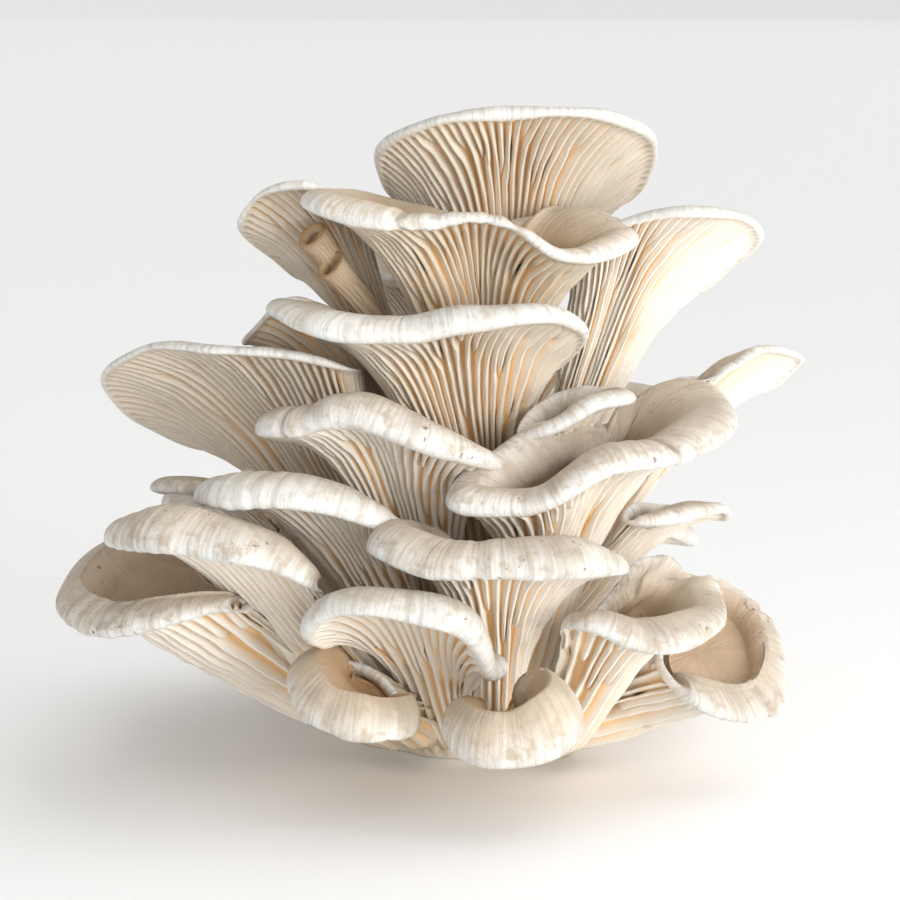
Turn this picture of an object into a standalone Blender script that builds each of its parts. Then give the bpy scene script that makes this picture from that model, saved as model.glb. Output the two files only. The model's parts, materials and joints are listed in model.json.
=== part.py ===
"""Oyster mushroom cluster: a fused base, thirty-three fan-shaped mushrooms and two young ones.

Every mushroom grows from a foot inside the base along an axis to the heart of its cap. Its rim is a
closed line given as a compass: azimuth, reach from the heart, lift above it and, where it differs
from the rest of the rim, the thickness of the lip. The gill side is a sheet of Hermite meridians
from the foot to the rim, the lip is a rounded roll beyond it, and the top follows the gill side one
flesh thickness further in, down to a closed throat.

Axes: +Z up, -Y the side seen in front, +X to the right of it. The cut face of the base lies at Z 0,
centred on the origin. Dimensions are in millimetres and become metres when a mesh is written.
"""

import math
from dataclasses import dataclass

import bmesh
import bpy
import numpy as np
from mathutils import Vector

MM = 0.001

# Driving dimensions, mm
GAP = 0.45  # between a mushroom and whatever it grew against
WALL_COLUMNS = 16  # meridians round a large cap
SMALL_COLUMNS = 12  # meridians round a small one
SMALL_RIM = 150.0  # a rim shorter than this takes the smaller number
GILL_ROWS = 5  # rings from the foot to the rim
LIP_ROWS = 2  # rings round the lip
TOP_ROWS = 3  # rings from the lip down the hollow's wall
BOWL_ROWS = 1  # rings on its floor
BOWL_DEPTH = 0.6  # depth of that floor, in its own radii
LIP_START = math.radians(-125.0)  # where the roll of the lip leaves the gill edges
LEAN_DAMPING = 0.85  # how much the flare calms down on the side a cap leans away from
RIM_SAMPLES = 1440  # steps used to space columns evenly along a rim

# Base: height, centre in X and Y, radius in X and Y
BASE_RINGS = (
    (0.0, 0.0, 4.0, 37.0, 29.0),
    (7.0, 0.0, 1.0, 41.0, 36.0),
    (20.0, 1.0, -3.0, 39.0, 38.0),
    (38.0, 2.0, -2.0, 32.0, 30.0),
    (58.0, 3.0, -1.0, 25.0, 22.0),
    (80.0, 3.0, 0.0, 18.0, 16.0),
    (100.0, 3.0, 1.0, 11.0, 10.0),
    (110.0, 3.0, 1.0, 4.0, 4.0),
)
BASE_COLUMNS = 30
BASE_LOBES = 7
BASE_LOBE_DEPTH = 0.05

FLESH = (0.86, 0.80, 0.70, 1.0)
BASE_FLESH = (0.80, 0.72, 0.60, 1.0)
PIN_FLESH = (0.62, 0.50, 0.36, 1.0)


@dataclass(frozen=True)
class Mushroom:
    """One mushroom's driving dimensions, in millimetres and degrees."""

    name: str
    foot: tuple  # middle of the foot, inside the base
    heart: tuple  # middle of the cap, level with its rim
    rim: tuple  # (azimuth, reach, lift) or (azimuth, reach, lift, lip) all the way round
    foot_radius: float = 9.0
    throat: float = 0.7  # share of the way up at which the hollow's floor begins
    lip: float = 5.0
    flare: float = 45.0  # how far the gill side bends outward at the rim
    leave: tuple | None = None  # the way the gill side leaves the foot; None is for the heart
    spring: float = 1.0  # how long it keeps to that way
    settle: float = 1.0  # how long before the rim it takes the rim's way
    flesh: float = 8.0
    colour: tuple = FLESH


MUSHROOMS = (
    Mushroom("front_middle", (8, -38, 14), (8, -66, 71.5),
             ((199, 36, 6), (225, 28, 2), (270, 22, 2), (325, 31, 2), (348, 36, 0, 5), (10, 33, -4, 5),
              (45, 24, 2), (90, 14, 3), (140, 24, 6), (180, 34, 6)),
             foot_radius=7, lip=6.5, flare=50),
    Mushroom("front_left", (-6, -34, 12), (-22, -68, 52),
             ((212, 28, 4, 6), (222, 28, 8, 6), (275, 24, 10, 7.5), (308, 29, 5, 7.5),
              (338, 28, -11, 6), (0, 31.5, -11.5, 5), (90, 18.5, 6.5, 5), (150, 14, 0, 5),
              (185, 20, -4, 5)),
             foot_radius=8, lip=6, flare=50, flesh=6),
    Mushroom("front_left_small", (-15, -35, 15), (-34, -72, 33.5),
             ((202, 19, 6), (241, 20, -2), (274, 20.5, -5), (320, 20, -3), (0, 12, 4), (60, 11, 10),
              (124, 13, 9), (165, 16, 9)),
             foot_radius=10, lip=5.5, flare=55, flesh=6),
    Mushroom("front_right_small", (6, -38, 12), (11, -84, 30),
             ((357, 18, 3), (45, 18, 10.5), (95, 9, 9), (163, 12, 7.5), (197, 18, 1),
              (230, 18.5, -5), (274, 17.5, -6), (320, 19.5, -2)),
             foot_radius=5.5, lip=5.5, flare=55, flesh=6, throat=0.75),
    Mushroom("right_bowl", (26, -35, 11), (50, -60, 58),
             ((107, 10, 8), (62, 17, 10), (37, 26, 3.5), (21, 25, -2), (332, 18, -8),
              (259, 15.5, -8.5), (227, 21, -4), (202, 25, -4), (185, 25, -10.5), (150, 20.5, -2.5)),
             foot_radius=9.5, leave=(0.6, -0.45, 0.6), settle=0.85, lip=6, flare=50, flesh=6),
    Mushroom("right_low", (30, -26, 13), (75, -42, 38),
             ((95, 20, 20), (61, 23, 11), (18, 19.5, 0), (322, 18, -12), (265, 17.5, -12.5),
              (231, 21, -7), (202, 20, -1), (150, 15, 9)),
             foot_radius=10, leave=(0.95, -0.3, 0.1), spring=1.2, settle=0.4,
             lip=6, flare=50, flesh=5),
    Mushroom("right_ledge", (16, -24, 22), (40, -50, 101),
             ((206, 49, -11), (224, 36, -12), (266, 23, -1), (334, 26, 2), (14, 37, 10), (31.5, 38, 16, 5.5),
              (45, 35, 17, 5), (62, 26, 13, 5), (90, 17, 4), (130, 20, 4), (176, 26, 3)),
             lip=7, flare=50),
    Mushroom("left_ledge", (-22, -28, 14), (-73, -58, 75),
             ((199, 33, 4.5, 6), (220, 29, 5), (259, 23.5, 3.5), (298, 28.5, 0), (328.5, 32, -8, 6),
              (0, 28, -4, 5.5), (90, 16, 1, 5.5), (150, 27, 4, 5.5)),
             foot_radius=12, leave=(-0.8, -0.4, 0.5), settle=0.8,
             lip=7, flare=50, flesh=5, throat=0.75),
    Mushroom("left_low", (-32, -26, 20), (-91, -40, 57.5),
             ((134.5, 30, 7), (172, 32, -2), (222, 26.5, -7), (270, 26.5, -3), (300, 28, 0),
              (330, 22, 3), (20, 16, 8.5), (90, 20, 11)),
             foot_radius=12, leave=(-0.93, -0.25, 0.05), spring=1.15, settle=0.4,
             lip=6, flare=55, flesh=5),
    Mushroom("left_lower_middle", (-10, -22, 18), (-50, -56, 89.5),
             ((203, 34, 4, 5.5), (239, 23.3, 3), (294, 22, 0), (341, 30, -8, 6), (355, 32, -9, 5),
              (30, 24.5, -9.5, 5), (90, 14, -0.5, 5), (150, 26, 1, 5)),
             lip=7, flare=50, flesh=6),
    Mushroom("left_middle", (-6, -20, 26), (-32, -50, 109.5),
             ((209, 32, 4.5, 5), (219, 28, 2, 6), (256, 20.6, 5), (315, 28.5, -3.5), (349, 40, -10.5, 5.5),
              (20, 31, -9, 5), (90, 14, 0, 5), (150, 25, 0, 5), (180, 29, 3, 5)),
             lip=7, flare=50),
    Mushroom("left_edge", (-22, -12, 20), (-77, -32, 86.5),
             ((203, 18, 3), (270, 12, 3), (0, 10, 6), (90, 14, 0.5), (150, 18.5, -0.5)),
             foot_radius=6, lip=4, flare=45, flesh=6),
    Mushroom("centre", (8, -14, 40), (-12, -38, 138),
             ((194, 47, 7, 5), (205, 42, 3.5, 6.5), (242, 25, 0), (305, 27, 3.5), (338, 42, 4.5, 5.5),
              (350, 46, 0, 4.5), (12, 38, -12, 4.5), (90, 13, -6, 5), (160, 36, 0, 5)),
             lip=7, flare=50),
    Mushroom("right_inner", (14, -14, 50), (34, -40, 112),
             ((208, 20, -5.6), (237, 14, -2), (281, 10, 3.5), (352, 14, 5), (90, 8, 6), (150, 14, 2)),
             foot_radius=6, lip=5, flare=45, flesh=6),
    Mushroom("right_small", (20, -12, 30), (66, -26, 77),
             ((228, 24, 2.5), (260, 16, 3.5), (330, 14, 4), (0, 13, 0.5), (60, 11.5, 0.5),
              (120, 13.5, 2.5), (180, 17.5, 4)),
             foot_radius=5, lip=3.6, flare=40, flesh=6),
    Mushroom("right_far", (22, -2, 40), (86, -2, 117.5),
             ((293, 13, 11), (5, 19.5, 5.5), (59, 15, -6), (90, 13, -3), (180, 21.5, 0),
              (234.6, 18.5, 3)),
             foot_radius=6, lip=3, flare=35, flesh=6, throat=0.65),
    Mushroom("left_fan", (-16, -6, 30), (-71.5, -14, 121),
             ((181, 43, -2), (210, 35, 9.5), (261, 31, 11.5), (304, 37, 9.5), (323, 42, 5.5),
              (350, 39, 2.5), (80, 17, -22), (133, 28, -26), (160, 38.5, -15)),
             lip=3, flare=40, flesh=6),
    Mushroom("upper_middle", (4, -8, 62), (2, -26, 168),
             ((196, 50, 7, 6), (209, 39.5, 3, 7.5), (230, 26, 2, 6), (262, 19.5, 4, 4.5), (300, 22, 1, 4.5),
              (330, 31, -8, 5), (342, 39, -8, 6), (353, 46, -4, 6), (8, 38, 2, 6), (40, 20, 0),
              (90, 13, -4), (140, 26, 4), (168, 42, 7, 6.5)),
             foot_radius=9, lip=5.5, flare=50),
    Mushroom("upper_left", (-4, 2, 66), (-49, -6, 170),
             ((201, 23, -1), (227.5, 23, 7.5), (262, 21, 11), (291, 18, 8.5), (0, 19, 2), (80, 13, -15),
              (112, 11, -20), (154, 13, -14)),
             foot_radius=8, lip=3, flare=40, flesh=7),
    Mushroom("upper_right", (14, -2, 46), (59.5, -12, 164),
             ((236, 21, 6), (283, 24, 9.5), (323, 29, 7.5), (355, 30, 0.5), (33, 29, -10),
              (61, 26, -20), (105, 15, -5), (140, 20, 4.5), (162, 29, 2), (200, 25, 0)),
             lip=3.2, flare=40, flesh=6),
    Mushroom("crown", (8, 5, 60), (14, -2, 187.5),
             ((3, 43.5, 1), (28, 43, -13), (90, 32, -16), (170, 41, -9), (188, 42, 2), (217, 36, 11),
              (270, 27, 15), (325, 37, 13), (345, 42, 8)),
             lip=4.0, flare=45),
    Mushroom("shaded_left", (-4, 0, 60), (-42, -14, 137),
             ((197, 26, -1), (213, 21, 9), (270, 14, 7), (0, 21, 3), (90, 17, 0), (135, 25, -4)),
             foot_radius=8, lip=3, flare=40, flesh=6),
    Mushroom("rear_upper", (2, 8, 58), (-6, 28, 152),
             ((90, 24, 8), (60, 32, 5), (20, 38, -2), (0, 34, -4), (330, 20, -6), (270, 13, -3),
              (210, 26, -5), (180, 38, 0), (160, 42, 4), (120, 32, 8)),
             lip=5, flare=45),
    Mushroom("rear_middle", (6, 12, 38), (12, 42, 124),
             ((90, 24, 5), (50, 35, 0), (15, 42, -7), (340, 32, -5), (300, 15, -1), (250, 14, 0),
              (195, 32, 2), (165, 39, 7), (130, 32, 8)),
             lip=6, flare=50),
    Mushroom("rear_left", (-8, 10, 28), (-46, 34, 104),
             ((120, 30, 4), (150, 36, -2), (180, 34, -6), (210, 24, -6), (270, 14, -1), (330, 18, 1),
              (20, 28, 4), (50, 34, 8), (90, 28, 7)),
             lip=6, flare=45),
    Mushroom("rear_right", (18, 10, 28), (46, 42, 94),
             ((60, 32, 6), (30, 34, 3), (0, 30, -4), (330, 20, -4), (260, 14, 0), (200, 22, -1),
              (160, 28, -4), (130, 30, 2), (90, 28, 8)),
             lip=6, flare=50),
    Mushroom("rear_low_left", (-16, 14, 14), (-68, 46, 66),
             ((135, 32, -2), (165, 34, 0), (195, 28, -2), (240, 17, 2.5), (300, 14, 6), (350, 20, 4),
              (30, 28, -2), (60, 30, -4), (100, 28, 2)),
             lip=6.5, flare=50, flesh=6, throat=0.65),
    Mushroom("rear_low_middle", (0, 20, 18), (-8, 64, 76),
             ((90, 22, 2), (55, 28, 6), (20, 36, 6), (345, 24.5, 4.5), (270, 14.5, 1.5),
              (200, 24, -5), (170, 38, -8), (130, 32, -2)),
             lip=6.5, flare=50, flesh=6),
    Mushroom("rear_low_right", (16, 18, 12), (52, 56, 54),
             ((60, 28, -6), (30, 30, -3), (0, 28, 3), (320, 18, 6), (250, 14, 8), (190, 22, 3),
              (155, 28, -6), (110, 26, -8)),
             lip=6.5, flare=50, flesh=7),
    Mushroom("rear_foot_left", (-10, 24, 8), (-36, 74, 38),
             ((90, 20, -6), (50, 22, -2), (0, 18, 6.5), (300, 12, 13), (240, 13, 12), (180, 24.5, 2),
              (135, 24, -4)),
             foot_radius=7, lip=6, flare=50, flesh=6, throat=0.65),
    Mushroom("rear_foot_right", (6, 26, 8), (14, 82, 32),
             ((90, 18, -6), (45, 22, -5), (0, 23, 2), (300, 14, 12.5), (250, 11, 13.5),
              (190, 20.5, 4.5), (140, 20, -5)),
             foot_radius=7, lip=6, flare=50, flesh=6, throat=0.65),
    Mushroom("side_left", (-20, 6, 12), (-73, 12, 69),
             ((180, 26, -2), (210, 20, 0), (270, 13, 4), (330, 13, 5), (30, 18, -2), (90, 24, -4),
              (135, 30, -6)),
             foot_radius=7, lip=5, flare=45, flesh=6),
    Mushroom("side_right", (20, 8, 12), (60, 16, 40),
             ((0, 22, -3), (40, 28, -6), (80, 26, -6), (130, 18, 4), (190, 14, 10), (260, 12, 5),
              (320, 15, 3)),
             foot_radius=8, lip=5.5, flare=50, flesh=6),
    Mushroom("young_upper", (-36, -8, 148), (-48.5, -24, 166),
             ((52, 4.5, 4), (112, 5, 2), (172, 5, -2), (232, 4.5, -4), (292, 5, -2), (352, 5, 2)),
             foot_radius=3.5, throat=0.8, lip=1.4, flare=20, flesh=1.6, colour=PIN_FLESH),
    Mushroom("young_lower", (-28, -6, 136), (-43, -23, 157),
             ((52, 5, 4.5), (112, 5, 2), (172, 5, -2), (232, 5, -4.5), (292, 5, -2), (352, 5, 2)),
             foot_radius=4.5, throat=0.8, lip=1.4, flare=20, flesh=1.6, colour=PIN_FLESH),
)


def unit(vectors):
    """The vectors, each divided by its own length."""
    return vectors / np.maximum(np.linalg.norm(vectors, axis=-1, keepdims=True), 1e-12)


def ease(value, low=0.0, high=1.0):
    """A smooth step from 0 at low to 1 at high."""
    t = np.clip((value - low) / (high - low), 0.0, 1.0)
    return t * t * (3.0 - 2.0 * t)


def around(azimuths, values, asked):
    """A smooth closed curve through the values, read at the asked azimuths (degrees).

    Each span is a cubic Hermite and each slope the three-point difference at its end.
    """
    order = np.argsort(azimuths)
    a = np.asarray(azimuths, float)[order]
    v = np.asarray(values, float)[order]
    a = np.concatenate([a[-2:] - 360.0, a, a[:2] + 360.0])
    v = np.concatenate([v[-2:], v, v[:2]])
    step = np.diff(a)
    rise = np.diff(v) / step
    slope = np.zeros_like(v)
    slope[1:-1] = (rise[:-1] * step[1:] + rise[1:] * step[:-1]) / (step[1:] + step[:-1])
    turned = np.mod(np.asarray(asked, float) - a[2], 360.0) + a[2]
    i = np.clip(np.searchsorted(a, turned, side="right") - 1, 0, len(a) - 2)
    t = (turned - a[i]) / step[i]
    return (
        (2 * t**3 - 3 * t**2 + 1) * v[i]
        + (t**3 - 2 * t**2 + t) * step[i] * slope[i]
        + (3 * t**2 - 2 * t**3) * v[i + 1]
        + (t**3 - t**2) * step[i] * slope[i + 1]
    )


class Growth:
    """The surfaces of one mushroom over a number of columns spaced evenly along its rim."""

    def __init__(self, shape, columns):
        self.shape = shape
        foot = np.array(shape.foot, float)
        heart = np.array(shape.heart, float)
        azimuth = self.spaced_azimuths(heart, columns)
        self.rim = self.rim_at(heart, azimuth)
        angles = [row[0] for row in shape.rim]
        lips = [row[3] if len(row) > 3 else shape.lip for row in shape.rim]
        self.lip = around(angles, lips, azimuth)[:, None]
        self.axis = unit(np.array(shape.leave, float) if shape.leave else heart - foot)
        turn = Vector((0, 0, 1)).rotation_difference(Vector(self.axis)).to_matrix()
        radians = np.radians(azimuth)
        ring = np.stack([np.cos(radians), np.sin(radians), 0 * radians], axis=1) @ np.array(turn).T
        self.foot = foot
        self.foot_ring = foot + shape.foot_radius * ring
        chord = self.rim - self.foot_ring
        self.length = np.linalg.norm(chord, axis=1, keepdims=True)
        chord = chord / self.length
        outward = self.rim - heart
        outward[:, 2] = 0.0
        outward = unit(outward)
        lean = outward - (0.0, 0.0, 0.8)
        lean = unit(lean - (lean * chord).sum(axis=1, keepdims=True) * chord)
        back = -(outward * self.axis).sum(axis=1, keepdims=True)
        leaning = 1.0 - LEAN_DAMPING * ease(back, 0.0, 0.8)
        flare = np.radians(shape.flare) * leaning
        self.flow = unit(np.cos(flare) * chord + np.sin(flare) * lean)
        self.pull = 0.9 * self.length * (0.35 + 0.65 * leaning)
        self.start_pull = self.pull * shape.spring
        self.end_pull = self.pull * shape.settle
        along = unit(np.roll(self.rim, -1, axis=0) - np.roll(self.rim, 1, axis=0))
        self.normal = unit(np.cross(self.flow, along))

    def rim_at(self, heart, azimuth):
        """The rim's points at these azimuths."""
        angles = [row[0] for row in self.shape.rim]
        reach = around(angles, [row[1] for row in self.shape.rim], azimuth)
        lift = around(angles, [row[2] for row in self.shape.rim], azimuth)
        radians = np.radians(azimuth)
        return heart + np.stack([reach * np.cos(radians), reach * np.sin(radians), lift], axis=1)

    def spaced_azimuths(self, heart, columns):
        """Azimuths whose points lie at equal steps along the rim, the first at azimuth 0."""
        fine = np.linspace(0.0, 360.0, RIM_SAMPLES + 1)
        steps = np.linalg.norm(np.diff(self.rim_at(heart, fine), axis=0), axis=1)
        travelled = np.concatenate([[0.0], np.cumsum(steps)])
        return np.interp(np.arange(columns) / columns * travelled[-1], travelled, fine)

    def gill_side(self, share):
        """Rings of the gill side: share 0 is the foot, 1 the rim. Hermite meridians."""
        t = np.asarray(share, float)[:, None, None]
        start = self.axis * self.start_pull
        end = self.flow * self.end_pull
        return (
            (2 * t**3 - 3 * t**2 + 1) * self.foot_ring
            + (t**3 - 2 * t**2 + t) * start
            + (3 * t**2 - 2 * t**3) * self.rim
            + (t**3 - t**2) * end
        )

    def lip_roll(self, share):
        """Rings of the lip: share 0 is where the gills end, 1 the top of the roll."""
        turn = LIP_START + np.asarray(share, float)[:, None, None] * (math.pi / 2 - LIP_START)
        reach = 0.6 * self.lip * (np.cos(turn) - math.cos(LIP_START))
        rise = 0.55 * self.lip * (np.sin(turn) - math.sin(LIP_START))
        return self.rim + self.flow * reach + self.normal * rise

    def top_side(self, share):
        """Rings of the hollow's wall: share 1 is the top of the lip, 0 the height of the throat.

        Each ring stands one flesh thickness inside the gill side at the same height, square to
        it high up and straight towards the middle lower down, and never half way there.
        """
        s = np.asarray(share, float)[:, None, None]
        height = self.shape.throat + (1 - self.shape.throat) * s[:, 0, 0]
        wall = self.gill_side(height)
        climb = self.gill_side(height + 0.01) - self.gill_side(height - 0.01)
        along = np.roll(wall, -1, axis=1) - np.roll(wall, 1, axis=1)
        square = unit(np.cross(climb, along))
        inward = wall.mean(axis=1, keepdims=True) - wall
        room = np.linalg.norm(inward, axis=2, keepdims=True)
        inward = inward / room
        blend = ease(s, 0.1, 0.7)
        depth = unit((1 - blend) * inward + blend * square)
        towards = (depth * inward).sum(axis=2, keepdims=True)
        taken = np.minimum(self.shape.flesh, 0.45 * room / np.maximum(towards, 0.45))
        near_lip = ease(s, 0.4, 1.0)
        lip_top = self.lip_roll([1.0]) - self.rim
        return wall + lip_top * near_lip + depth * taken * (1 - near_lip)

    def bowl(self, share):
        """Rings of the hollow's floor: share 1 is its edge, 0 the bottom. A quarter ellipse."""
        edge = self.top_side([0.0])
        middle = edge.mean(axis=1, keepdims=True)
        radius = np.linalg.norm(edge - middle, axis=2).mean()
        turn = (1 - np.asarray(share, float)[:, None, None]) * math.pi / 2
        sunk = middle - self.axis * (BOWL_DEPTH * radius) * np.sin(turn)
        return sunk + (edge - middle) * np.cos(turn)

    def rings(self):
        """Every ring of the closed surface in order, without the two end points."""
        return np.concatenate([
            self.gill_side(np.linspace(0.0, 1.0, GILL_ROWS)),
            self.lip_roll(np.linspace(0.0, 1.0, LIP_ROWS + 2)[1:]),
            self.top_side(np.linspace(1.0, 0.0, TOP_ROWS + 1)[1:]),
            self.bowl(np.linspace(1.0, 0.0, BOWL_ROWS + 2)[1:-1]),
        ])


def closed_mesh(name, rings, first, last):
    """A closed mesh through the rings, with a fan to a single point at each end, facing out."""
    rows, columns = rings.shape[:2]
    points = np.concatenate([rings.reshape(-1, 3), [first], [last]]) * MM
    here = np.arange(columns)
    beside = (here + 1) % columns
    faces = []
    for row in range(rows - 1):
        below, above = row * columns, (row + 1) * columns
        quads = np.stack([below + here, below + beside, above + beside, above + here], axis=1)
        faces += quads.tolist()
    start, end = rows * columns, rows * columns + 1
    top = (rows - 1) * columns
    faces += [(int(b), int(a), start) for a, b in zip(here, beside)]
    faces += [(int(top + a), int(top + b), end) for a, b in zip(here, beside)]
    mesh = bpy.data.meshes.new(name)
    mesh.from_pydata(points.tolist(), [], faces)
    work = bmesh.new()
    work.from_mesh(mesh)
    bmesh.ops.triangulate(work, faces=work.faces[:])
    bmesh.ops.recalc_face_normals(work, faces=work.faces[:])
    work.to_mesh(mesh)
    work.free()
    return mesh


def mushroom_mesh(shape):
    """The whole mushroom, foot to lip to throat, before its neighbours are cut from it."""
    around_rim = Growth(shape, 72)
    steps = np.linalg.norm(around_rim.rim - np.roll(around_rim.rim, 1, axis=0), axis=1)
    growth = Growth(shape, SMALL_COLUMNS if steps.sum() < SMALL_RIM else WALL_COLUMNS)
    throat = growth.bowl([0.0])[0].mean(axis=0)
    return closed_mesh(shape.name, growth.rings(), growth.foot, throat)


def base_mesh():
    """The fused foot of the cluster: a lobed stump, flat underneath, that takes in every foot."""
    angle = np.arange(BASE_COLUMNS) / BASE_COLUMNS * 2 * math.pi
    lobes = 1 + BASE_LOBE_DEPTH * np.cos(BASE_LOBES * angle)
    rings = np.array([
        np.stack([
            x + across * lobes * np.cos(angle),
            y + deep * lobes * np.sin(angle),
            np.full_like(angle, height),
        ], axis=1)
        for height, x, y, across, deep in BASE_RINGS
    ])
    height, x, y = BASE_RINGS[-1][:3]
    floor = (BASE_RINGS[0][1], BASE_RINGS[0][2], 0.0)
    return closed_mesh("base", rings, floor, (x, y, height + 2.0))


def flesh_material(colour):
    """One plain material per colour."""
    name = "flesh_%02x%02x%02x" % tuple(round(255 * part) for part in colour[:3])
    found = bpy.data.materials.get(name)
    if found:
        return found
    material = bpy.data.materials.new(name)
    material.use_nodes = True
    shader = material.node_tree.nodes["Principled BSDF"]
    shader.inputs["Base Color"].default_value = colour
    shader.inputs["Roughness"].default_value = 0.7
    shader.inputs["Metallic"].default_value = 0.0
    return material


def swollen(mesh):
    """A hidden copy of the mesh, every point moved outward so that it clears the mesh by the gap."""
    cutter = bpy.data.objects.new(mesh.name + "_cutter", mesh.copy())
    work = bmesh.new()
    work.from_mesh(cutter.data)
    work.normal_update()
    moves = [(vertex, vertex.normal * vertex.calc_shell_factor()) for vertex in work.verts]
    for vertex, move in moves:
        vertex.co += move * min(1.0, 2.0 / max(move.length, 1e-9)) * GAP * MM
    work.to_mesh(cutter.data)
    work.free()
    bpy.context.scene.collection.objects.link(cutter)
    cutter.hide_render = True
    cutter.display_type = "WIRE"
    return cutter


def bounds(mesh):
    """The lowest and highest corner of a mesh."""
    points = np.empty(len(mesh.vertices) * 3)
    mesh.vertices.foreach_get("co", points)
    points = points.reshape(-1, 3)
    return points.min(axis=0), points.max(axis=0)


def meet(first, second):
    """Whether two meshes' boxes overlap."""
    low, high = bounds(first)
    other_low, other_high = bounds(second)
    return bool((low < other_high).all() and (other_low < high).all())


def cut(piece, cutters):
    """Takes the cutters away from the piece with exact Booleans and keeps its largest body."""
    for cutter in cutters:
        if not meet(piece.data, cutter.data):
            continue
        boolean = piece.modifiers.new("cut", "BOOLEAN")
        boolean.operation = "DIFFERENCE"
        boolean.solver = "EXACT"
        boolean.object = cutter
        bpy.context.view_layer.update()
        graph = bpy.context.evaluated_depsgraph_get()
        result = bpy.data.meshes.new_from_object(piece.evaluated_get(graph))
        piece.modifiers.clear()
        piece.data = result
        keep_largest(piece.data)


def keep_largest(mesh):
    """Leaves only the body with the greatest volume."""
    work = bmesh.new()
    work.from_mesh(mesh)
    left = set(work.verts)
    bodies = []
    while left:
        body, edge_of = set(), [left.pop()]
        while edge_of:
            vertex = edge_of.pop()
            body.add(vertex)
            near = {edge.other_vert(vertex) for edge in vertex.link_edges} & left
            left -= near
            edge_of += near
        bodies.append(body)
    bodies.sort(key=body_volume)
    for body in bodies[:-1]:
        bmesh.ops.delete(work, geom=list(body), context="VERTS")
    work.to_mesh(mesh)
    work.free()


def body_volume(body):
    """Volume enclosed by a closed set of vertices' faces, times six."""
    faces = {face for vertex in body for face in vertex.link_faces}
    total = 0.0
    for face in faces:
        corners = [vertex.co for vertex in face.verts]
        for second, third in zip(corners[1:-1], corners[2:]):
            total += corners[0].dot(second.cross(third))
    return total


def tidy(mesh):
    """Welds points closer than a hundredth of a millimetre and triangulates."""
    work = bmesh.new()
    work.from_mesh(mesh)
    bmesh.ops.remove_doubles(work, verts=work.verts[:], dist=0.01 * MM)
    bmesh.ops.dissolve_degenerate(work, edges=work.edges[:], dist=0.005 * MM)
    bmesh.ops.triangulate(work, faces=work.faces[:])
    work.to_mesh(mesh)
    work.free()


def add_piece(mesh, name, colour):
    """Links a node with its material."""
    piece = bpy.data.objects.new(name, mesh)
    bpy.context.scene.collection.objects.link(piece)
    piece.data.materials.clear()
    piece.data.materials.append(flesh_material(colour))
    return piece


def main():
    for old in list(bpy.data.objects):
        bpy.data.objects.remove(old)
    base = add_piece(base_mesh(), "base", BASE_FLESH)
    cutters = [swollen(base.data)]
    for shape in MUSHROOMS:
        whole = mushroom_mesh(shape)
        cutter = swollen(whole)
        piece = add_piece(whole, shape.name, shape.colour)
        cut(piece, cutters)
        tidy(piece.data)
        piece.data.materials.clear()
        piece.data.materials.append(flesh_material(shape.colour))
        cutters.append(cutter)
    for cutter in cutters:
        bpy.data.objects.remove(cutter)


if __name__ == "__main__":
    main()
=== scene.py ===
"""Looks of an oyster mushroom cluster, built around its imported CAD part.

Thirty-five mushrooms stand on one fused base. Each is a single closed skin: gill blades from the
foot up to the rim, a rounded lip, and a smooth top that sinks into the hollow. The tables hold
millimetres and degrees, and lengths become metres when a mesh is written.

Axes: +Z up, -Y the side seen in front, +X to the right of it.
"""

from __future__ import annotations

import json
import logging
import math
from dataclasses import dataclass
from enum import Enum

import bpy
import numpy as np
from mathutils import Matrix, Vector
from numpy.typing import NDArray

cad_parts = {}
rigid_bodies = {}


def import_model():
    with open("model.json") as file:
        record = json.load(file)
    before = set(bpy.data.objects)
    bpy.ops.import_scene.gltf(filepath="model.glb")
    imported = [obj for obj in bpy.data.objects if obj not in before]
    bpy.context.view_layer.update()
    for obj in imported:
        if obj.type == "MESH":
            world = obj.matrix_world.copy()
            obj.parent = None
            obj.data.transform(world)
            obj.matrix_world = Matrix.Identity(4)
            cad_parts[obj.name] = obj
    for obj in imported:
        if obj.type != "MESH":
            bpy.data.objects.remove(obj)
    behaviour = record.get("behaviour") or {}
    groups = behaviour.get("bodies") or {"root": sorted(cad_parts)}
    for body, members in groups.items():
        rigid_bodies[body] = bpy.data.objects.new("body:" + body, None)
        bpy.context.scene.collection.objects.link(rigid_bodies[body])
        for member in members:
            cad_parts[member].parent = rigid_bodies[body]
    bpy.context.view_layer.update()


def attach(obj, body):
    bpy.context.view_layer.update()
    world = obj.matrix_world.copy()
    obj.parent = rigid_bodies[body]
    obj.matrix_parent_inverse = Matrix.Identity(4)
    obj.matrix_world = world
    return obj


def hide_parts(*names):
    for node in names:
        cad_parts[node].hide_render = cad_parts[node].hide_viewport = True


Array = NDArray[np.float64]
Faces = NDArray[np.int64]
Colour = tuple[float, float, float]
Point = tuple[float, float, float]
Socket = bpy.types.NodeSocket

LOG = logging.getLogger("oyster_cluster")

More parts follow.
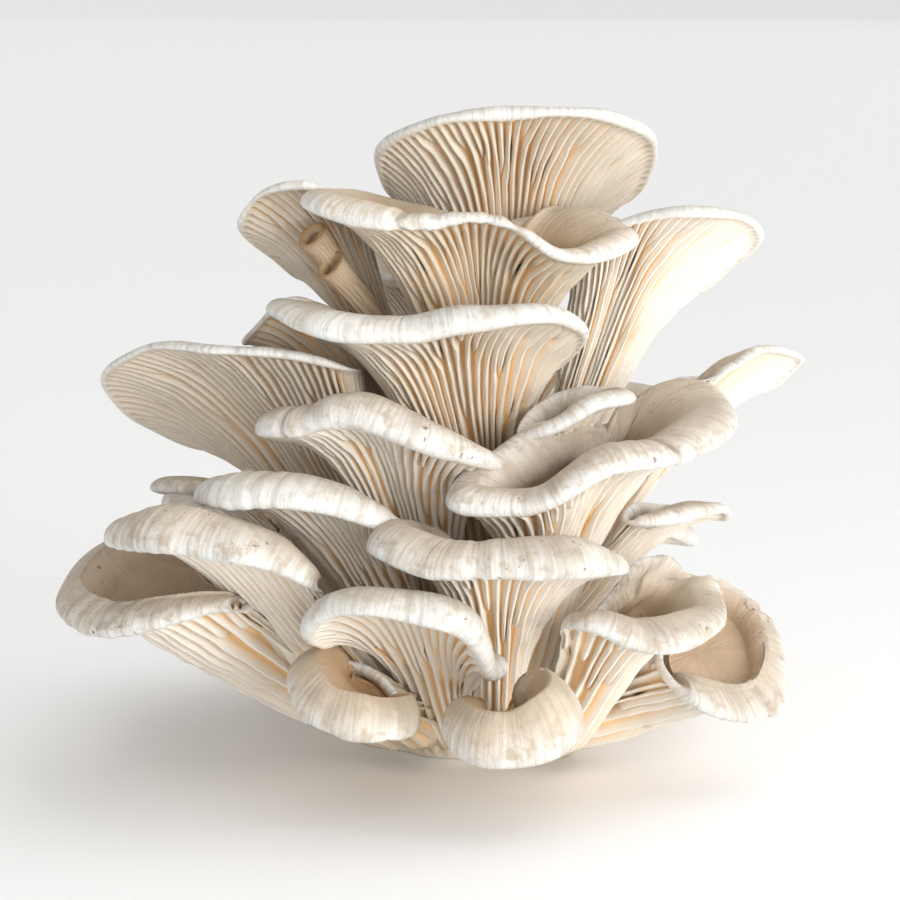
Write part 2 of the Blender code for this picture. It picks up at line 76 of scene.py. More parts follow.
MM = 0.001
RIM_COLUMNS = 720  # columns of the smooth skin, from which the gills' own columns are read
RIM_SAMPLES = 1440  # steps used to space those columns evenly along a rim
STRIDE = 6  # every so many columns are compared where flesh is measured
BLADES = 3  # gills in a group
BLADE_COLUMNS = 4  # root, edge, edge and root of a gill
LIP_START = math.radians(-125.0)  # where the roll of the lip leaves the gill ends
LIP_UNDER = 0.36  # share of the lip's rings that lie below the flow
LIP_OUT, LIP_UP = 0.42, 0.30  # size of the roll below the flow, in lips
LIP_ROOM = 0.8  # share of the rim's bend radius that the lip may take
LEAST_FLESH = 0.42  # share of a cap's flesh that must stay between its top and its gills
MOST_FLESH = 0.45  # share of the way to a ring's middle that the flesh may take
# Painted shade: the foot of the gill side, low in the crowded cluster, is darkened towards the
# grooves' colour.
DRIFT = 0.9  # how far the blades wander sideways together, mm
PAINTED_FOOT_SHADE = 0.14  # how far the foot of the gill side takes the colour of the grooves
FIRST_LIP = 0.35  # how far the lip's first ring has the looks of the upper side
CREST = 0.3  # the hollow's value on the lip's crest
DROOP = 0.8  # how much a flare turns down for each step outward
LEAN_DAMPING = 0.85  # how much the flare calms down on the side a cap leans away from


def unit(vectors: Array) -> Array:
    """Returns the vectors, each divided by its own length."""
    return vectors / np.maximum(np.linalg.norm(vectors, axis=-1, keepdims=True), 1e-12)


def ease(value: Array | float, low: float = 0.0, high: float = 1.0) -> Array:
    """Returns a smooth step from 0 at low to 1 at high: 3t^2 - 2t^3."""
    t = np.clip((np.asarray(value, float) - low) / (high - low), 0.0, 1.0)
    return t * t * (3.0 - 2.0 * t)


def hermite(t: Array, start: Array, leaving: Array, end: Array, arriving: Array) -> Array:
    """Returns the cubic from start to end with the given slopes there, at t from 0 to 1."""
    rise, fall = 3 * t**2 - 2 * t**3, 2 * t**3 - 3 * t**2 + 1
    return fall * start + (t**3 - 2 * t**2 + t) * leaving + rise * end + (t**3 - t**2) * arriving


def around(azimuths: list[float], values: list[float], asked: Array) -> Array:
    """A smooth closed curve through the values, read at the asked azimuths.

    Each span is a cubic Hermite, and each slope is the three-point difference at its end.

    Args:
        azimuths: Where the values are given, in degrees.
        values: The values there.
        asked: Where the curve is read, in degrees.

    Returns:
        The curve at the asked azimuths.
    """
    order = np.argsort(azimuths)
    a, v = np.asarray(azimuths, float)[order], np.asarray(values, float)[order]
    a = np.concatenate([a[-2:] - 360.0, a, a[:2] + 360.0])
    v = np.concatenate([v[-2:], v, v[:2]])
    step = np.diff(a)
    rise = np.diff(v) / step
    slope = np.zeros_like(v)
    slope[1:-1] = (rise[:-1] * step[1:] + rise[1:] * step[:-1]) / (step[1:] + step[:-1])
    turned = np.mod(np.asarray(asked, float) - a[2], 360.0) + a[2]
    i = np.clip(np.searchsorted(a, turned, side="right") - 1, 0, len(a) - 2)
    t = (turned - a[i]) / step[i]
    return hermite(t, v[i], step[i] * slope[i], v[i + 1], step[i] * slope[i + 1])


def turned_ring(radians: Array, axis: Array) -> Array:
    """A circle of radius 1 in the plane square to an axis.

    Its points come from the level circle by the smallest turn that takes +Z to the axis.

    Args:
        radians: The level circle's angles.
        axis: The direction square to the ring, of length 1.

    Returns:
        One point for each angle.
    """
    turn = Vector((0, 0, 1)).rotation_difference(Vector(axis)).to_matrix()
    level = np.stack([np.cos(radians), np.sin(radians), 0 * radians], axis=1)
    return level @ np.array(turn).T


def read_rings(rings: Array, places: Array) -> Array:
    """Reads closed rings between their columns, linearly.

    Args:
        rings: Values of shape (rows, columns, parts), with the columns evenly round each ring.
        places: Where they are read, in turns, of shape (rows, count), or (count,) for every row.

    Returns:
        Values of shape (rows, count, parts).
    """
    place = np.mod(places, 1.0) * rings.shape[1]
    left = np.floor(place).astype(int)
    share = (place - left)[..., None]
    row = np.arange(rings.shape[0])[:, None]
    after = (left + 1) % rings.shape[1]
    return rings[row, left % rings.shape[1]] * (1 - share) + rings[row, after] * share


def along_rings(rings: Array, axis: int = 1) -> Array:
    """Returns the step from each column's last neighbour to its next, round closed rings."""
    return np.roll(rings, -1, axis) - np.roll(rings, 1, axis)


def ring_lengths(rings: Array) -> Array:
    """Returns the length round each closed ring."""
    return np.linalg.norm(np.roll(rings, -1, axis=1) - rings, axis=2).sum(axis=1)


def outward_normals(rings: Array) -> Array:
    """Returns the unit normals of a stack of rings: along each ring crossed with up the stack."""
    return unit(np.cross(along_rings(rings), np.gradient(rings, axis=0)))


def square_distances(first: Array, second: Array) -> NDArray[np.float32]:
    """Squared distances between two sets of points: a^2 + b^2 - 2ab, measured from their middle.

    Args:
        first: Points of shape (rows, 3).
        second: Points of shape (columns, 3).

    Returns:
        The squares, of shape (rows, columns).
    """
    middle = second.mean(axis=0)
    a, b = (first - middle).astype(np.float32), (second - middle).astype(np.float32)
    return (a**2).sum(axis=1)[:, None] + (b**2).sum(axis=1) - 2 * a @ b.T


class Ripple:
    """A smooth random swell in space, from about -1 to 1: a weighted sum of plane sine waves."""

    def __init__(self, seed: int, longest: float, shortest: float, waves: int = 10) -> None:
        """Draws the waves.

        Args:
            seed: Seed of the draw.
            longest: The longest wave, mm.
            shortest: The shortest wave, mm.
            waves: How many there are.
        """
        draw = np.random.default_rng(seed)
        lengths = np.geomspace(longest, shortest, waves)
        self.waves = unit(draw.normal(size=(waves, 3))) * (2 * math.pi / lengths)[:, None]
        self.phases = draw.uniform(0.0, 2 * math.pi, waves)
        self.weights = 2.2 * lengths / lengths.sum()

    def at(self, points: Array) -> Array:
        """Returns the swell at points whose last axis is X, Y, Z."""
        return (np.sin(points @ self.waves.T + self.phases) * self.weights).sum(axis=-1)


class Tone(Enum):
    """The finishes that flesh can have."""

    PALE = "pale"
    # Tan flesh with darker gills: partly its own colour, partly painted shade for caps that lie in
    # shade.
    WARM = "warm"
    # Painted shade: the pale flesh with darker gills and grooves, for caps whose gills lie in
    # shade.
    CREAM = "cream"  # pale above, warmer gills
    FLECKED = "flecked"
    YOUNG = "young"
    STUMP = "stump"


class Detail(Enum):
    """How finely a mushroom is meshed: rings on its gill side, lip, top and hollow floor."""

    FULL = (38, 10, 15, 4)
    PLAIN = (24, 8, 9, 3)


@dataclass(frozen=True)
class Fold:
    """A crease, split or ridge that runs across a lip and down its top."""

    azimuth: float  # where it crosses the rim, degrees
    width: float  # half its width along the rim, mm
    depth: float  # how far it sinks in, mm; a negative depth is a ridge
    reach: float = 0.6  # share of the top that it runs down
    stain: float = 0.0  # how brown it is, 0 to 1


@dataclass(frozen=True)
class Ribs:
    """A stretch of low rounded ribs across a lip."""

    azimuth: float  # the middle of the stretch, degrees
    spread: float  # half the stretch's length along the rim, mm
    pitch: float  # from one rib to the next, mm
    height: float  # of a rib, mm


class Growth:
    """The smooth surfaces of one mushroom, over columns spaced evenly along its rim."""

    def __init__(self, shape: Mushroom) -> None:
        """Works out the rim, and at every column the foot, the flow at the rim and its normal.

        Args:
            shape: The mushroom's sizes.
        """
        self.shape = shape
        self.angles = [row[0] for row in shape.rim]
        self.foot, self.heart = np.array(shape.foot, float), np.array(shape.heart, float)
        self.azimuth = self.spaced_azimuths()
        self.rim = self.rim_at(self.azimuth)
        self.girth = ring_lengths(self.rim[None])[0]
        lips = [row[3] if len(row) > 3 else shape.lip for row in shape.rim]
        self.lip = around(self.angles, lips, self.azimuth)[:, None]
        self.axis = unit(np.array(shape.leave, float) if shape.leave else self.heart - self.foot)
        circle = turned_ring(np.radians(self.azimuth), self.axis)
        self.foot_ring = self.foot + shape.foot_radius * circle
        chord = self.rim - self.foot_ring
        length = np.linalg.norm(chord, axis=1, keepdims=True)
        chord = chord / length
        outward = unit((self.rim - self.heart) * (1.0, 1.0, 0.0))
        lean = outward - (0.0, 0.0, DROOP)
        lean = unit(lean - (lean * chord).sum(axis=1, keepdims=True) * chord)
        back = -(outward * self.axis).sum(axis=1, keepdims=True)
        leaning = 1.0 - LEAN_DAMPING * ease(back, 0.0, 0.8)
        flare = np.radians(shape.flare) * leaning
        self.flow = unit(np.cos(flare) * chord + np.sin(flare) * lean)
        pull = 0.9 * length * (0.35 + 0.65 * leaning)
        self.leaving = self.axis * (pull * shape.spring)
        self.arriving = self.flow * (pull * shape.settle)
        self.normal = unit(np.cross(self.flow, unit(along_rings(self.rim, axis=0))))
        self.inner_room, self.outer_room = self.bend_room()

    def bend_room(self) -> tuple[Array, Array]:
        """How far the lip may lie behind and beyond the rim before it runs into itself.

        The rim's bend is its second difference along the flow over the step squared, averaged over
        a short stretch. The room is a share of the radius on the side towards which it bends.

        Returns:
            The room behind the rim and the room beyond it, mm, of shape (columns, 1).
        """
        step = self.girth / RIM_COLUMNS
        stretch = max(3, round(5.0 / step))
        second = np.roll(self.rim, -1, axis=0) - 2 * self.rim + np.roll(self.rim, 1, axis=0)
        bend = -(second * self.flow).sum(axis=1) / step**2
        window = np.hanning(2 * stretch + 1)
        padded = np.concatenate([bend[-stretch:], bend, bend[:stretch]])
        bend = np.convolve(padded, window / window.sum(), mode="valid")[:, None]
        return LIP_ROOM / np.maximum(bend, 0.01), LIP_ROOM / np.maximum(-bend, 0.01)

    @staticmethod
    def within(want: Array, room: Array) -> Array:
        """Returns the wanted length, eased to stay in the room: w / (1 + (w / room)^3)^(1/3)."""
        return want / np.cbrt(1 + (want / room) ** 3)

    def rim_at(self, azimuth: Array) -> Array:
        """The rim's points at some azimuths: heart + (reach cos a, reach sin a, lift).

        Args:
            azimuth: Angles in degrees.

        Returns:
            One point for each azimuth.
        """
        reach, lift = (
            around(self.angles, [row[part] for row in self.shape.rim], azimuth) for part in (1, 2)
        )
        radians = np.radians(azimuth)
        level = [reach * np.cos(radians), reach * np.sin(radians)]
        return self.heart + np.stack([*level, lift], axis=1)

    def spaced_azimuths(self) -> Array:
        """Azimuths whose points lie at equal steps along the rim, the first at 0.

        Returns:
            The azimuths in degrees.
        """
        fine = np.linspace(0.0, 360.0, RIM_SAMPLES + 1)
        steps = np.linalg.norm(np.diff(self.rim_at(fine), axis=0), axis=1)
        travelled = np.concatenate([[0.0], np.cumsum(steps)])
        return np.interp(np.arange(RIM_COLUMNS) / RIM_COLUMNS * travelled[-1], travelled, fine)

    def distance_along(self, azimuth: float) -> Array:
        """Signed distance of every column from an azimuth, along the rim.

        Args:
            azimuth: Where it is measured from, degrees.

        Returns:
            The distances in millimetres.
        """
        place = np.arange(RIM_COLUMNS) / RIM_COLUMNS
        start = np.interp(azimuth % 360.0, self.azimuth, np.arange(RIM_COLUMNS)) / RIM_COLUMNS
        return (np.mod(place - start + 0.5, 1.0) - 0.5) * self.girth

    def gill_side(self, share: Array) -> Array:
        """Rings of the gill side, 0 at the foot ring and 1 at the rim: cubic Hermite meridians."""
        t = np.asarray(share, float)[:, None, None]
        return hermite(t, self.foot_ring, self.leaving, self.rim, self.arriving)

    def lip_roll(self, share: Array) -> Array:
        """Rings of the lip: a tight quarter below, then a broad rise back to the crest.

        Below the flow, out = 0.42 lip (cos a - cos start) and up = 0.3 lip (sin a - sin start).
        Above it, out falls by back (1 - cos a) and up grows by rise sin a.

        Args:
            share: 0 where the gills end, 1 at the top of the roll.

        Returns:
            Rings of shape (rows, columns, 3).
        """
        s = np.asarray(share, float)[:, None, None]
        under = LIP_START * (1 - np.clip(s / LIP_UNDER, 0.0, 1.0))
        above = math.pi / 2 * np.clip((s - LIP_UNDER) / (1 - LIP_UNDER), 0.0, 1.0)
        beyond = 1 - math.cos(LIP_START)
        tip = self.within(LIP_OUT * beyond * self.lip, self.outer_room)
        back = self.within(self.shape.back * self.lip, self.inner_room + tip)
        out = tip * (np.cos(under) - math.cos(LIP_START)) / beyond - back * (1 - np.cos(above))
        up = LIP_UP * (np.sin(under) - math.sin(LIP_START)) + self.shape.rise * np.sin(above)
        return self.rim + self.flow * out + self.normal * self.lip * up

    def top_side(self, share: Array) -> Array:
        """Rings of the hollow's wall, one flesh thickness inside the gill side.

        The flesh is measured square to the wall near the lip and straight towards the middle of
        the ring near the throat, and never takes more than a share of the way to that middle.

        Args:
            share: 1 at the top of the lip, 0 at the height of the throat.

        Returns:
            Rings of shape (rows, columns, 3).
        """
        s = np.asarray(share, float)[:, None, None]
        height = self.shape.throat + (1 - self.shape.throat) * s[:, 0, 0]
        wall = self.gill_side(height)
        climb = self.gill_side(height + 0.01) - self.gill_side(height - 0.01)
        inward = wall.mean(axis=1, keepdims=True) - wall
        room = np.linalg.norm(inward, axis=2, keepdims=True)
        inward = inward / room
        square = ease(s, 0.1, 0.7)
        facing = unit(np.cross(climb, along_rings(wall)))
        depth = unit((1 - square) * inward + square * facing)
        towards = (depth * inward).sum(axis=2, keepdims=True)
        most = MOST_FLESH * room / np.maximum(towards, MOST_FLESH)
        taken = np.minimum(self.shape.flesh, most)
        near_lip = ease(s, 0.4, 1.0)
        lip_top = self.lip_roll(np.ones(1)) - self.rim
        return wall + lip_top * near_lip + depth * taken * (1 - near_lip)

    def bowl(self, share: Array) -> Array:
        """Rings of the hollow's floor: a quarter ellipse below the throat.

        Args:
            share: 1 at the throat, 0 at the bottom.

        Returns:
            Rings of shape (rows, columns, 3).
        """
        edge = self.top_side(np.zeros(1))
        middle = edge.mean(axis=1, keepdims=True)
        radius = np.linalg.norm(edge - middle, axis=2).mean()
        turn = (1 - np.asarray(share, float)[:, None, None]) * math.pi / 2
        sunk = middle - self.axis * (self.shape.dip * radius) * np.sin(turn)
        return sunk + (edge - middle) * np.cos(turn)


class Gills:
    """The blades under one cap: where their columns run, ring by ring, and how proud they stand.

    They come in threes: a full blade from the foot, and a half and a quarter blade in either order.
    A blade has four columns: root, edge, edge, root. Walls and edges keep their thickness in
    millimetres as the cap narrows towards the foot, and the grooves share what is left.
    """

    EDGE = (0.12, 0.74)  # width of an edge where a blade starts, and what growing adds, mm
    WALL = (0.08, 1.30)  # the same for each sloping wall
    MOST = 0.40  # share of the room that edges, and then walls, may take
    STARTS = ((0.00, 0.08), (0.34, 0.68), (0.70, 0.955))  # how far up full, half, quarter begin
    OPENING = 0.06  # share of the way up over which a blade reaches its height
    WAVES = (9.0, 17.0)  # length of the waves along a blade, mm
    SIZES = (0.88, 1.0)  # height of a blade beside the groove's depth
    FLUTTER = 0.04  # how far its edge rises and falls
    SWAY = 0.09  # how far it swings sideways, mm

    def __init__(self, heights: Array, girths: Array, travel: Array, shape: Mushroom) -> None:
        """Lays the blades out.

        Args:
            heights: Share of the way from foot to rim of each ring.
            girths: Length round each ring, mm.
            travel: Distance of each ring from the foot along the skin, mm.
            shape: The mushroom.
        """
        draw = np.random.default_rng(shape.seed)
        self.girths, self.heights = girths, heights
        self.groups = count = max(6, round(girths[-1] / (BLADES * shape.gill_pitch)))
        full, half, quarter = self.STARTS
        halves, quarters = draw.uniform(*half, count), draw.uniform(*quarter, count)
        swapped = draw.random(count) < 0.5
        second, third = np.where(swapped, (quarters, halves), (halves, quarters))
        starts = np.stack([draw.uniform(*full, count), second, third], axis=1)
        past = heights[:, None, None] - starts
        self.grown = np.sqrt(np.clip(past / self.OPENING, 0.0, 1.0))
        waves = draw.uniform(*self.WAVES, (count, BLADES))
        phases = draw.uniform(0.0, 2 * math.pi, (2, count, BLADES))
        turn = 2 * math.pi * travel[:, None, None] / waves
        size = draw.uniform(*self.SIZES, (count, BLADES))
        flutter = 1 - self.FLUTTER + self.FLUTTER * np.sin(turn + phases[0])
        self.stand = self.grown * size * flutter
        self.sway = self.SWAY * self.grown * np.sin(0.8 * turn + phases[1])

    def places(self) -> Array:
        """Where every column crosses every ring, in turns round it.

        The widths of wall, edge, wall and groove are added up along each group of blades. The
        walls slope, so that a groove is a V whose floor is what they leave of it. Close under the
        rim the widths become equal, so that the lip's columns are even.

        Returns:
            Places of shape (rows, columns).
        """
        rows, group = len(self.heights), (self.groups, BLADE_COLUMNS * BLADES)
        total = (self.girths / self.groups)[:, None, None]
        edge = self.EDGE[0] + self.EDGE[1] * self.grown
        edge = edge * np.minimum(1.0, self.MOST * total / edge.sum(axis=2, keepdims=True))
        free = total - edge.sum(axis=2, keepdims=True)
        wall = self.WALL[0] + self.WALL[1] * self.grown
        wall = wall * np.minimum(1.0, self.MOST * free / wall.sum(axis=2, keepdims=True))
        free = free - 2 * wall.sum(axis=2, keepdims=True)
        after = np.roll(self.grown.reshape(rows, -1), -1, axis=1).reshape(self.grown.shape)
        share = 0.3 + self.grown + after
        groove = free * share / share.sum(axis=2, keepdims=True)
        widths = np.stack([wall, edge, wall, groove], axis=3)
        level = ease(self.heights, 0.93, 1.0)[:, None, None, None]
        widths = widths * (1 - level) + total[..., None] / group[1] * level
        widths = widths.reshape(rows, *group)
        run = np.cumsum(widths, axis=2) - widths
        run = run - (widths[..., :1] + widths[..., 1:2] / 2)
        run = run + np.arange(self.groups)[:, None] * total
        sway = (self.sway[..., None] * (0.0, 1.0, 1.0, 0.0)).reshape(rows, *group)
        run = run + sway * (1 - level[..., 0])
        return run.reshape(rows, -1) / self.girths[:, None]

    def sunk(self) -> Array:
        """How far each column lies below the blades' outer edge: 0 there and 1 at the root."""
        edge, root = 1.0 - self.stand, np.ones_like(self.stand)
        return np.stack([root, edge, edge, root], axis=3).reshape(len(self.heights), -1)


def spread(
    shapes: list[tuple[int, int]], parts: list[Array | float], ends: tuple[float, ...] = (0.0, 0.0)
) -> Array:
    """One value for each point of a skin: block by block, then for its two closing points.

    Args:
        shapes: Rows and columns of each block.
        parts: Each block's values, repeated where they are fewer.
        ends: The values at the closing points.

    Returns:
        The values, in the points' order.
    """
    flat = [np.broadcast_to(part, shape).ravel() for part, shape in zip(parts, shapes)]
    return np.concatenate([*flat, ends])


def grid_faces(rows: int, columns: int, first: int = 0) -> Faces:
    """Quads between neighbouring closed rings, facing away from the inside.

    Args:
        rows: How many rings there are.
        columns: Points on each ring.
        first: Index of the first ring's first point.

    Returns:
        Corner indices of shape (faces, 4).
    """
    start = first + np.arange(rows - 1)[:, None] * columns
    here, beside = start + np.arange(columns), start + (np.arange(columns) + 1) % columns
    return np.stack([here, beside, beside + columns, here + columns], axis=2).reshape(-1, 4)


def halving_faces(columns: int, outer: int, inner: int) -> Faces:
    """Triangles from a ring to one with half as many points, three for each of its steps.

    Args:
        columns: Points on the finer ring.
        outer: Index of its first point.
        inner: Index of the coarser ring's first point.

    Returns:
        Corner indices of shape (faces, 3).
    """
    even = np.arange(0, columns, 2)
    first, middle, last = outer + even, outer + even + 1, outer + (even + 2) % columns
    near, far = inner + even // 2, inner + (even // 2 + 1) % (columns // 2)
    corners = (first, middle, near), (middle, far, near), (middle, last, far)
    return np.concatenate([np.stack(three, axis=1) for three in corners])


def fan_faces(columns: int, ring: int, tip: int, closing_top: bool) -> Faces:
    """Triangles that close a ring with one point.

    Args:
        columns: Points on the ring.
        ring: Index of its first point.
        tip: Index of the closing point.
        closing_top: Whether the ring is the last of its stack, and not the first.

    Returns:
        Corner indices of shape (columns, 3).
    """
    here = ring + np.arange(columns)
    beside = ring + (np.arange(columns) + 1) % columns
    ends = [here, beside] if closing_top else [beside, here]
    return np.stack([*ends, np.full(columns, tip)], axis=1)


@dataclass(frozen=True)
class Skin:
    """A closed mesh in the making, with what its material reads at each point."""

    points: Array
    faces: list[Faces]
    grain: Array  # place on the skin: round the cap as a circle, and distance from the foot, mm
    # The groove value is partly the roots' own colour and partly painted shade: it grows with depth
    # between the blades and towards the foot.
    groove: Array  # 1 at the root of the gills, and never quite 0 on their lower part
    upper: Array  # 1 on the lip and the top
    hollow: Array  # 0 at the edge of the lip, 0.3 on its crest and 1 deep in the hollow
    stain: Array  # 1 where a fold is brown

    def mesh(self, name: str) -> bpy.types.Mesh:
        """The skin as a Blender mesh in metres, with smooth faces and its attributes.

        Args:
            name: The mesh's name.

        Returns:
            The mesh.
        """
        mesh = bpy.data.meshes.new(name)
        corners = np.concatenate([block.ravel() for block in self.faces])
        sizes = np.concatenate([np.full(len(block), block.shape[1]) for block in self.faces])
        mesh.vertices.add(len(self.points))
        mesh.vertices.foreach_set("co", (self.points * MM).astype(np.float32).ravel())
        mesh.loops.add(len(corners))
        mesh.loops.foreach_set("vertex_index", corners.astype(np.int32))
        mesh.polygons.add(len(sizes))
        mesh.polygons.foreach_set("loop_start", (np.cumsum(sizes) - sizes).astype(np.int32))
        mesh.polygons.foreach_set("use_smooth", np.ones(len(sizes), bool))
        mesh.update(calc_edges=True)
        for title in ("groove", "upper", "hollow", "stain"):
            layer = mesh.attributes.new(title, "FLOAT", "POINT")
            layer.data.foreach_set("value", getattr(self, title).astype(np.float32))
        layer = mesh.attributes.new("grain", "FLOAT_VECTOR", "POINT")
        layer.data.foreach_set("vector", (self.grain * MM).astype(np.float32).ravel())
        return mesh

    def piece(self, node: str, slot: str, finish: bpy.types.Material) -> bpy.types.Object:
        """Dresses the skin and makes it the piece that stands for a CAD node.

        Args:
            node: The CAD node's name.
            slot: Not used.
            finish: Its material.

        Returns:
            The piece.
        """
        piece = bpy.data.objects.new(f"{node}_grown", self.mesh(node))
        piece.data.materials.append(finish)
        bpy.context.scene.collection.objects.link(piece)
        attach(piece, "root")
        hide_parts(node)
        return piece


@dataclass(frozen=True)
class Mushroom:
    """One mushroom: its sizes, in millimetres and degrees, and how its skin is made."""

    name: str
    foot: Point  # middle of the foot, inside the base
    heart: Point  # middle of the cap, level with its rim
    rim: tuple[tuple[float, ...], ...]  # (azimuth, reach, lift) or with the lip's size as well
    foot_radius: float = 9.0
    throat: float = 0.7  # share of the way up at which the hollow's floor begins
    lip: float = 6.0
    rise: float = 0.85  # height of the lip's crest above its edge, in lips
    back: float = 1.15  # and how far behind it the crest lies
    flare: float = 50.0  # how far the gill side bends outward at the rim
    leave: Point | None = None  # the way the gill side leaves the foot; None is for the heart
    spring: float = 1.0  # how long it keeps to that way
    settle: float = 1.0  # how long before the rim it takes the rim's way
    flesh: float = 6.0  # thickness of the cap
    dip: float = 0.35  # depth of the hollow's floor, in its own radii
    gill_pitch: float = 3.2  # between blades at the rim
    gill_depth: float = 5.8  # of a groove midway up
    swell: float = 0.45  # height of the skin's slow random undulation
    folds: tuple[Fold, ...] = ()
    ribs: tuple[Ribs, ...] = ()
    detail: Detail = Detail.FULL
    tone: Tone = Tone.PALE
    slot: str = "flesh"
    seed: int = 1

    def gill_heights(self) -> Array:
        """Shares of the way up at which the gill side has rings, closer together near the rim."""
        upper = 0.36 + 0.63 * np.linspace(0.0, 1.0, self.detail.value[0] - 5) ** 0.9
        return np.concatenate([[0.0, 0.1, 0.2, 0.29], upper, [1.0]])

    def smooth_rings(self, growth: Growth) -> tuple[Array, Array, Array]:
        """The mushroom without its gills, foot to hollow, with its swell, ribs and folds.

        Point = ring + normal x (swell x ripple + ribs) - (normal + flow) x fold. A fold's section
        is exp(-(d / width)^2) across it, where d is the distance along the rim.

        Args:
            growth: Its smooth surfaces.

        Returns:
            Rings of shape (rows, columns, 3), their normals, and the stain at each point.
        """
        _, lips, tops, floors = self.detail.value
        heights = self.gill_heights()
        rings = np.concatenate(
            [
                growth.gill_side(heights),
                growth.lip_roll(np.linspace(0.0, 1.0, lips + 1)[1:]),
                growth.top_side(np.linspace(1.0, 0.0, tops + 1)[1:]),
                growth.bowl(np.linspace(1.0, 0.0, floors + 2)[1:-1]),
            ]
        )
        rings = self.thickened(rings)
        normals = outward_normals(rings)
        loose = [ease(heights, 0.15, 0.8), np.ones(lips + tops), np.full(floors, 0.5)]
        swell = self.swell * Ripple(self.seed, 46.0, 9.0).at(rings)
        lift = swell * np.concatenate(loose)[:, None]
        down = np.arange(tops + floors) / tops
        on_lip = np.concatenate([ease(heights, 0.9, 1.0) * 0.5, np.ones(lips)])
        over = np.concatenate([on_lip, 1.0 - ease(down, 0.15, 0.9)])[:, None]
        for ribs in self.ribs:
            along = growth.distance_along(ribs.azimuth)
            window = 1 - ease(np.abs(along), 0.6 * ribs.spread, ribs.spread)
            wander = 1.2 * Ripple(self.seed + 7, 30.0, 8.0, 5).at(rings)
            wave = 0.5 + 0.5 * np.cos(2 * math.pi * along / ribs.pitch + wander)
            lift = lift + ribs.height * (wave - 0.5) * window * over
        stain, sink = np.zeros((2, *rings.shape[:2]))
        for fold in self.folds:
            along = growth.distance_along(fold.azimuth)
            wander = 0.35 * fold.width * Ripple(self.seed + 3, 24.0, 6.0, 5).at(rings)
            section = np.exp(-(((along + wander) / fold.width) ** 2))
            run = np.concatenate([on_lip, 1.0 - ease(down, 0.7 * fold.reach, fold.reach)])[:, None]
            sink = sink + fold.depth * section * run
            stain = stain + fold.stain * section**0.7 * run
        rings = rings + normals * (lift - sink)[..., None]
        rings = rings - growth.flow * (0.45 * sink * over)[..., None]
        return rings, outward_normals(rings), np.clip(stain, 0.0, 1.0)

    def thickened(self, rings: Array) -> Array:
        """Moves the top away from the gill side wherever the flesh between them is too thin.

        The gap at a point on top is measured square to the nearest point of the gill side. What it
        lacks becomes a move, and the moves are averaged with their neighbours'. Three rounds are
        done, on a part of the columns.

        Args:
            rings: The smooth skin.

        Returns:
            The skin with its top moved.
        """
        gills, lips = self.detail.value[:2]
        top = gills + lips
        under = rings[: gills - 1, ::STRIDE].reshape(-1, 3)
        facing = outward_normals(rings[:gills])[: gills - 1, ::STRIDE].reshape(-1, 3)
        moved = start = rings[top:, ::STRIDE]
        want = LEAST_FLESH * self.flesh * ease(np.arange(len(start)), -2.0, 5.0)[:, None]
        for _ in range(3):
            flat = moved.reshape(-1, 3)
            near = square_distances(flat, under).argmin(axis=1)
            gap = ((under[near] - flat) * facing[near]).sum(axis=1).reshape(moved.shape[:2])
            lack = np.clip(want - gap, 0.0, 3.0)[..., None]
            push = -facing[near].reshape(moved.shape) * lack
            for axis in (1, 1, 0):
                before, after = np.roll(push, 1, axis), np.roll(push, -1, axis)
                if axis == 0:
                    before[0], after[-1] = push[0], push[-1]
                push = (before + 2 * push + after) / 4
            moved = moved + push
        places = np.arange(RIM_COLUMNS) / RIM_COLUMNS
        return np.concatenate([rings[:top], rings[top:] + read_rings(moved - start, places)])

    def room(self, rings: Array) -> Array:
        """How thick the flesh is behind the gill side: the distance to the nearest point on top.

        A part of the columns is measured, and the others are read from those.

        Args:
            rings: The smooth skin.

        Returns:
            The thickness at each point of the gill side, mm, of shape (gills, columns).
        """
        gills, lips = self.detail.value[:2]
        under = rings[:gills, ::STRIDE].reshape(-1, 3)
        over = rings[gills + lips :, ::STRIDE].reshape(-1, 3)
        square = square_distances(under, over).min(axis=1).astype(float)
        nearest = np.sqrt(np.maximum(square, 0.0)).reshape(gills, -1, 1)
        return read_rings(nearest, np.arange(RIM_COLUMNS) / RIM_COLUMNS)[..., 0]

    def groove_depths(self, rings: Array) -> Array:
        """How deep a groove may be at each point of the gill side.

        It grows from the foot, halves towards the rim and ends there, and is never more than 0.7
        of the flesh behind it nor of 0.6 of the way to the ring's middle.

        Args:
            rings: The smooth skin.

        Returns:
            The depths, mm, of shape (gills, columns).
        """
        heights = self.gill_heights()
        depth = self.gill_depth * (0.2 + 0.8 * ease(heights, 0.05, 0.42))
        depth = depth * (1 - 0.5 * ease(heights, 0.80, 0.995)) * (heights < 1.0)
        wall = rings[: len(heights)]
        to_middle = np.linalg.norm(wall - wall.mean(axis=1, keepdims=True), axis=2)
        return np.minimum(depth[:, None], 0.7 * np.minimum(self.room(rings), 0.6 * to_middle))

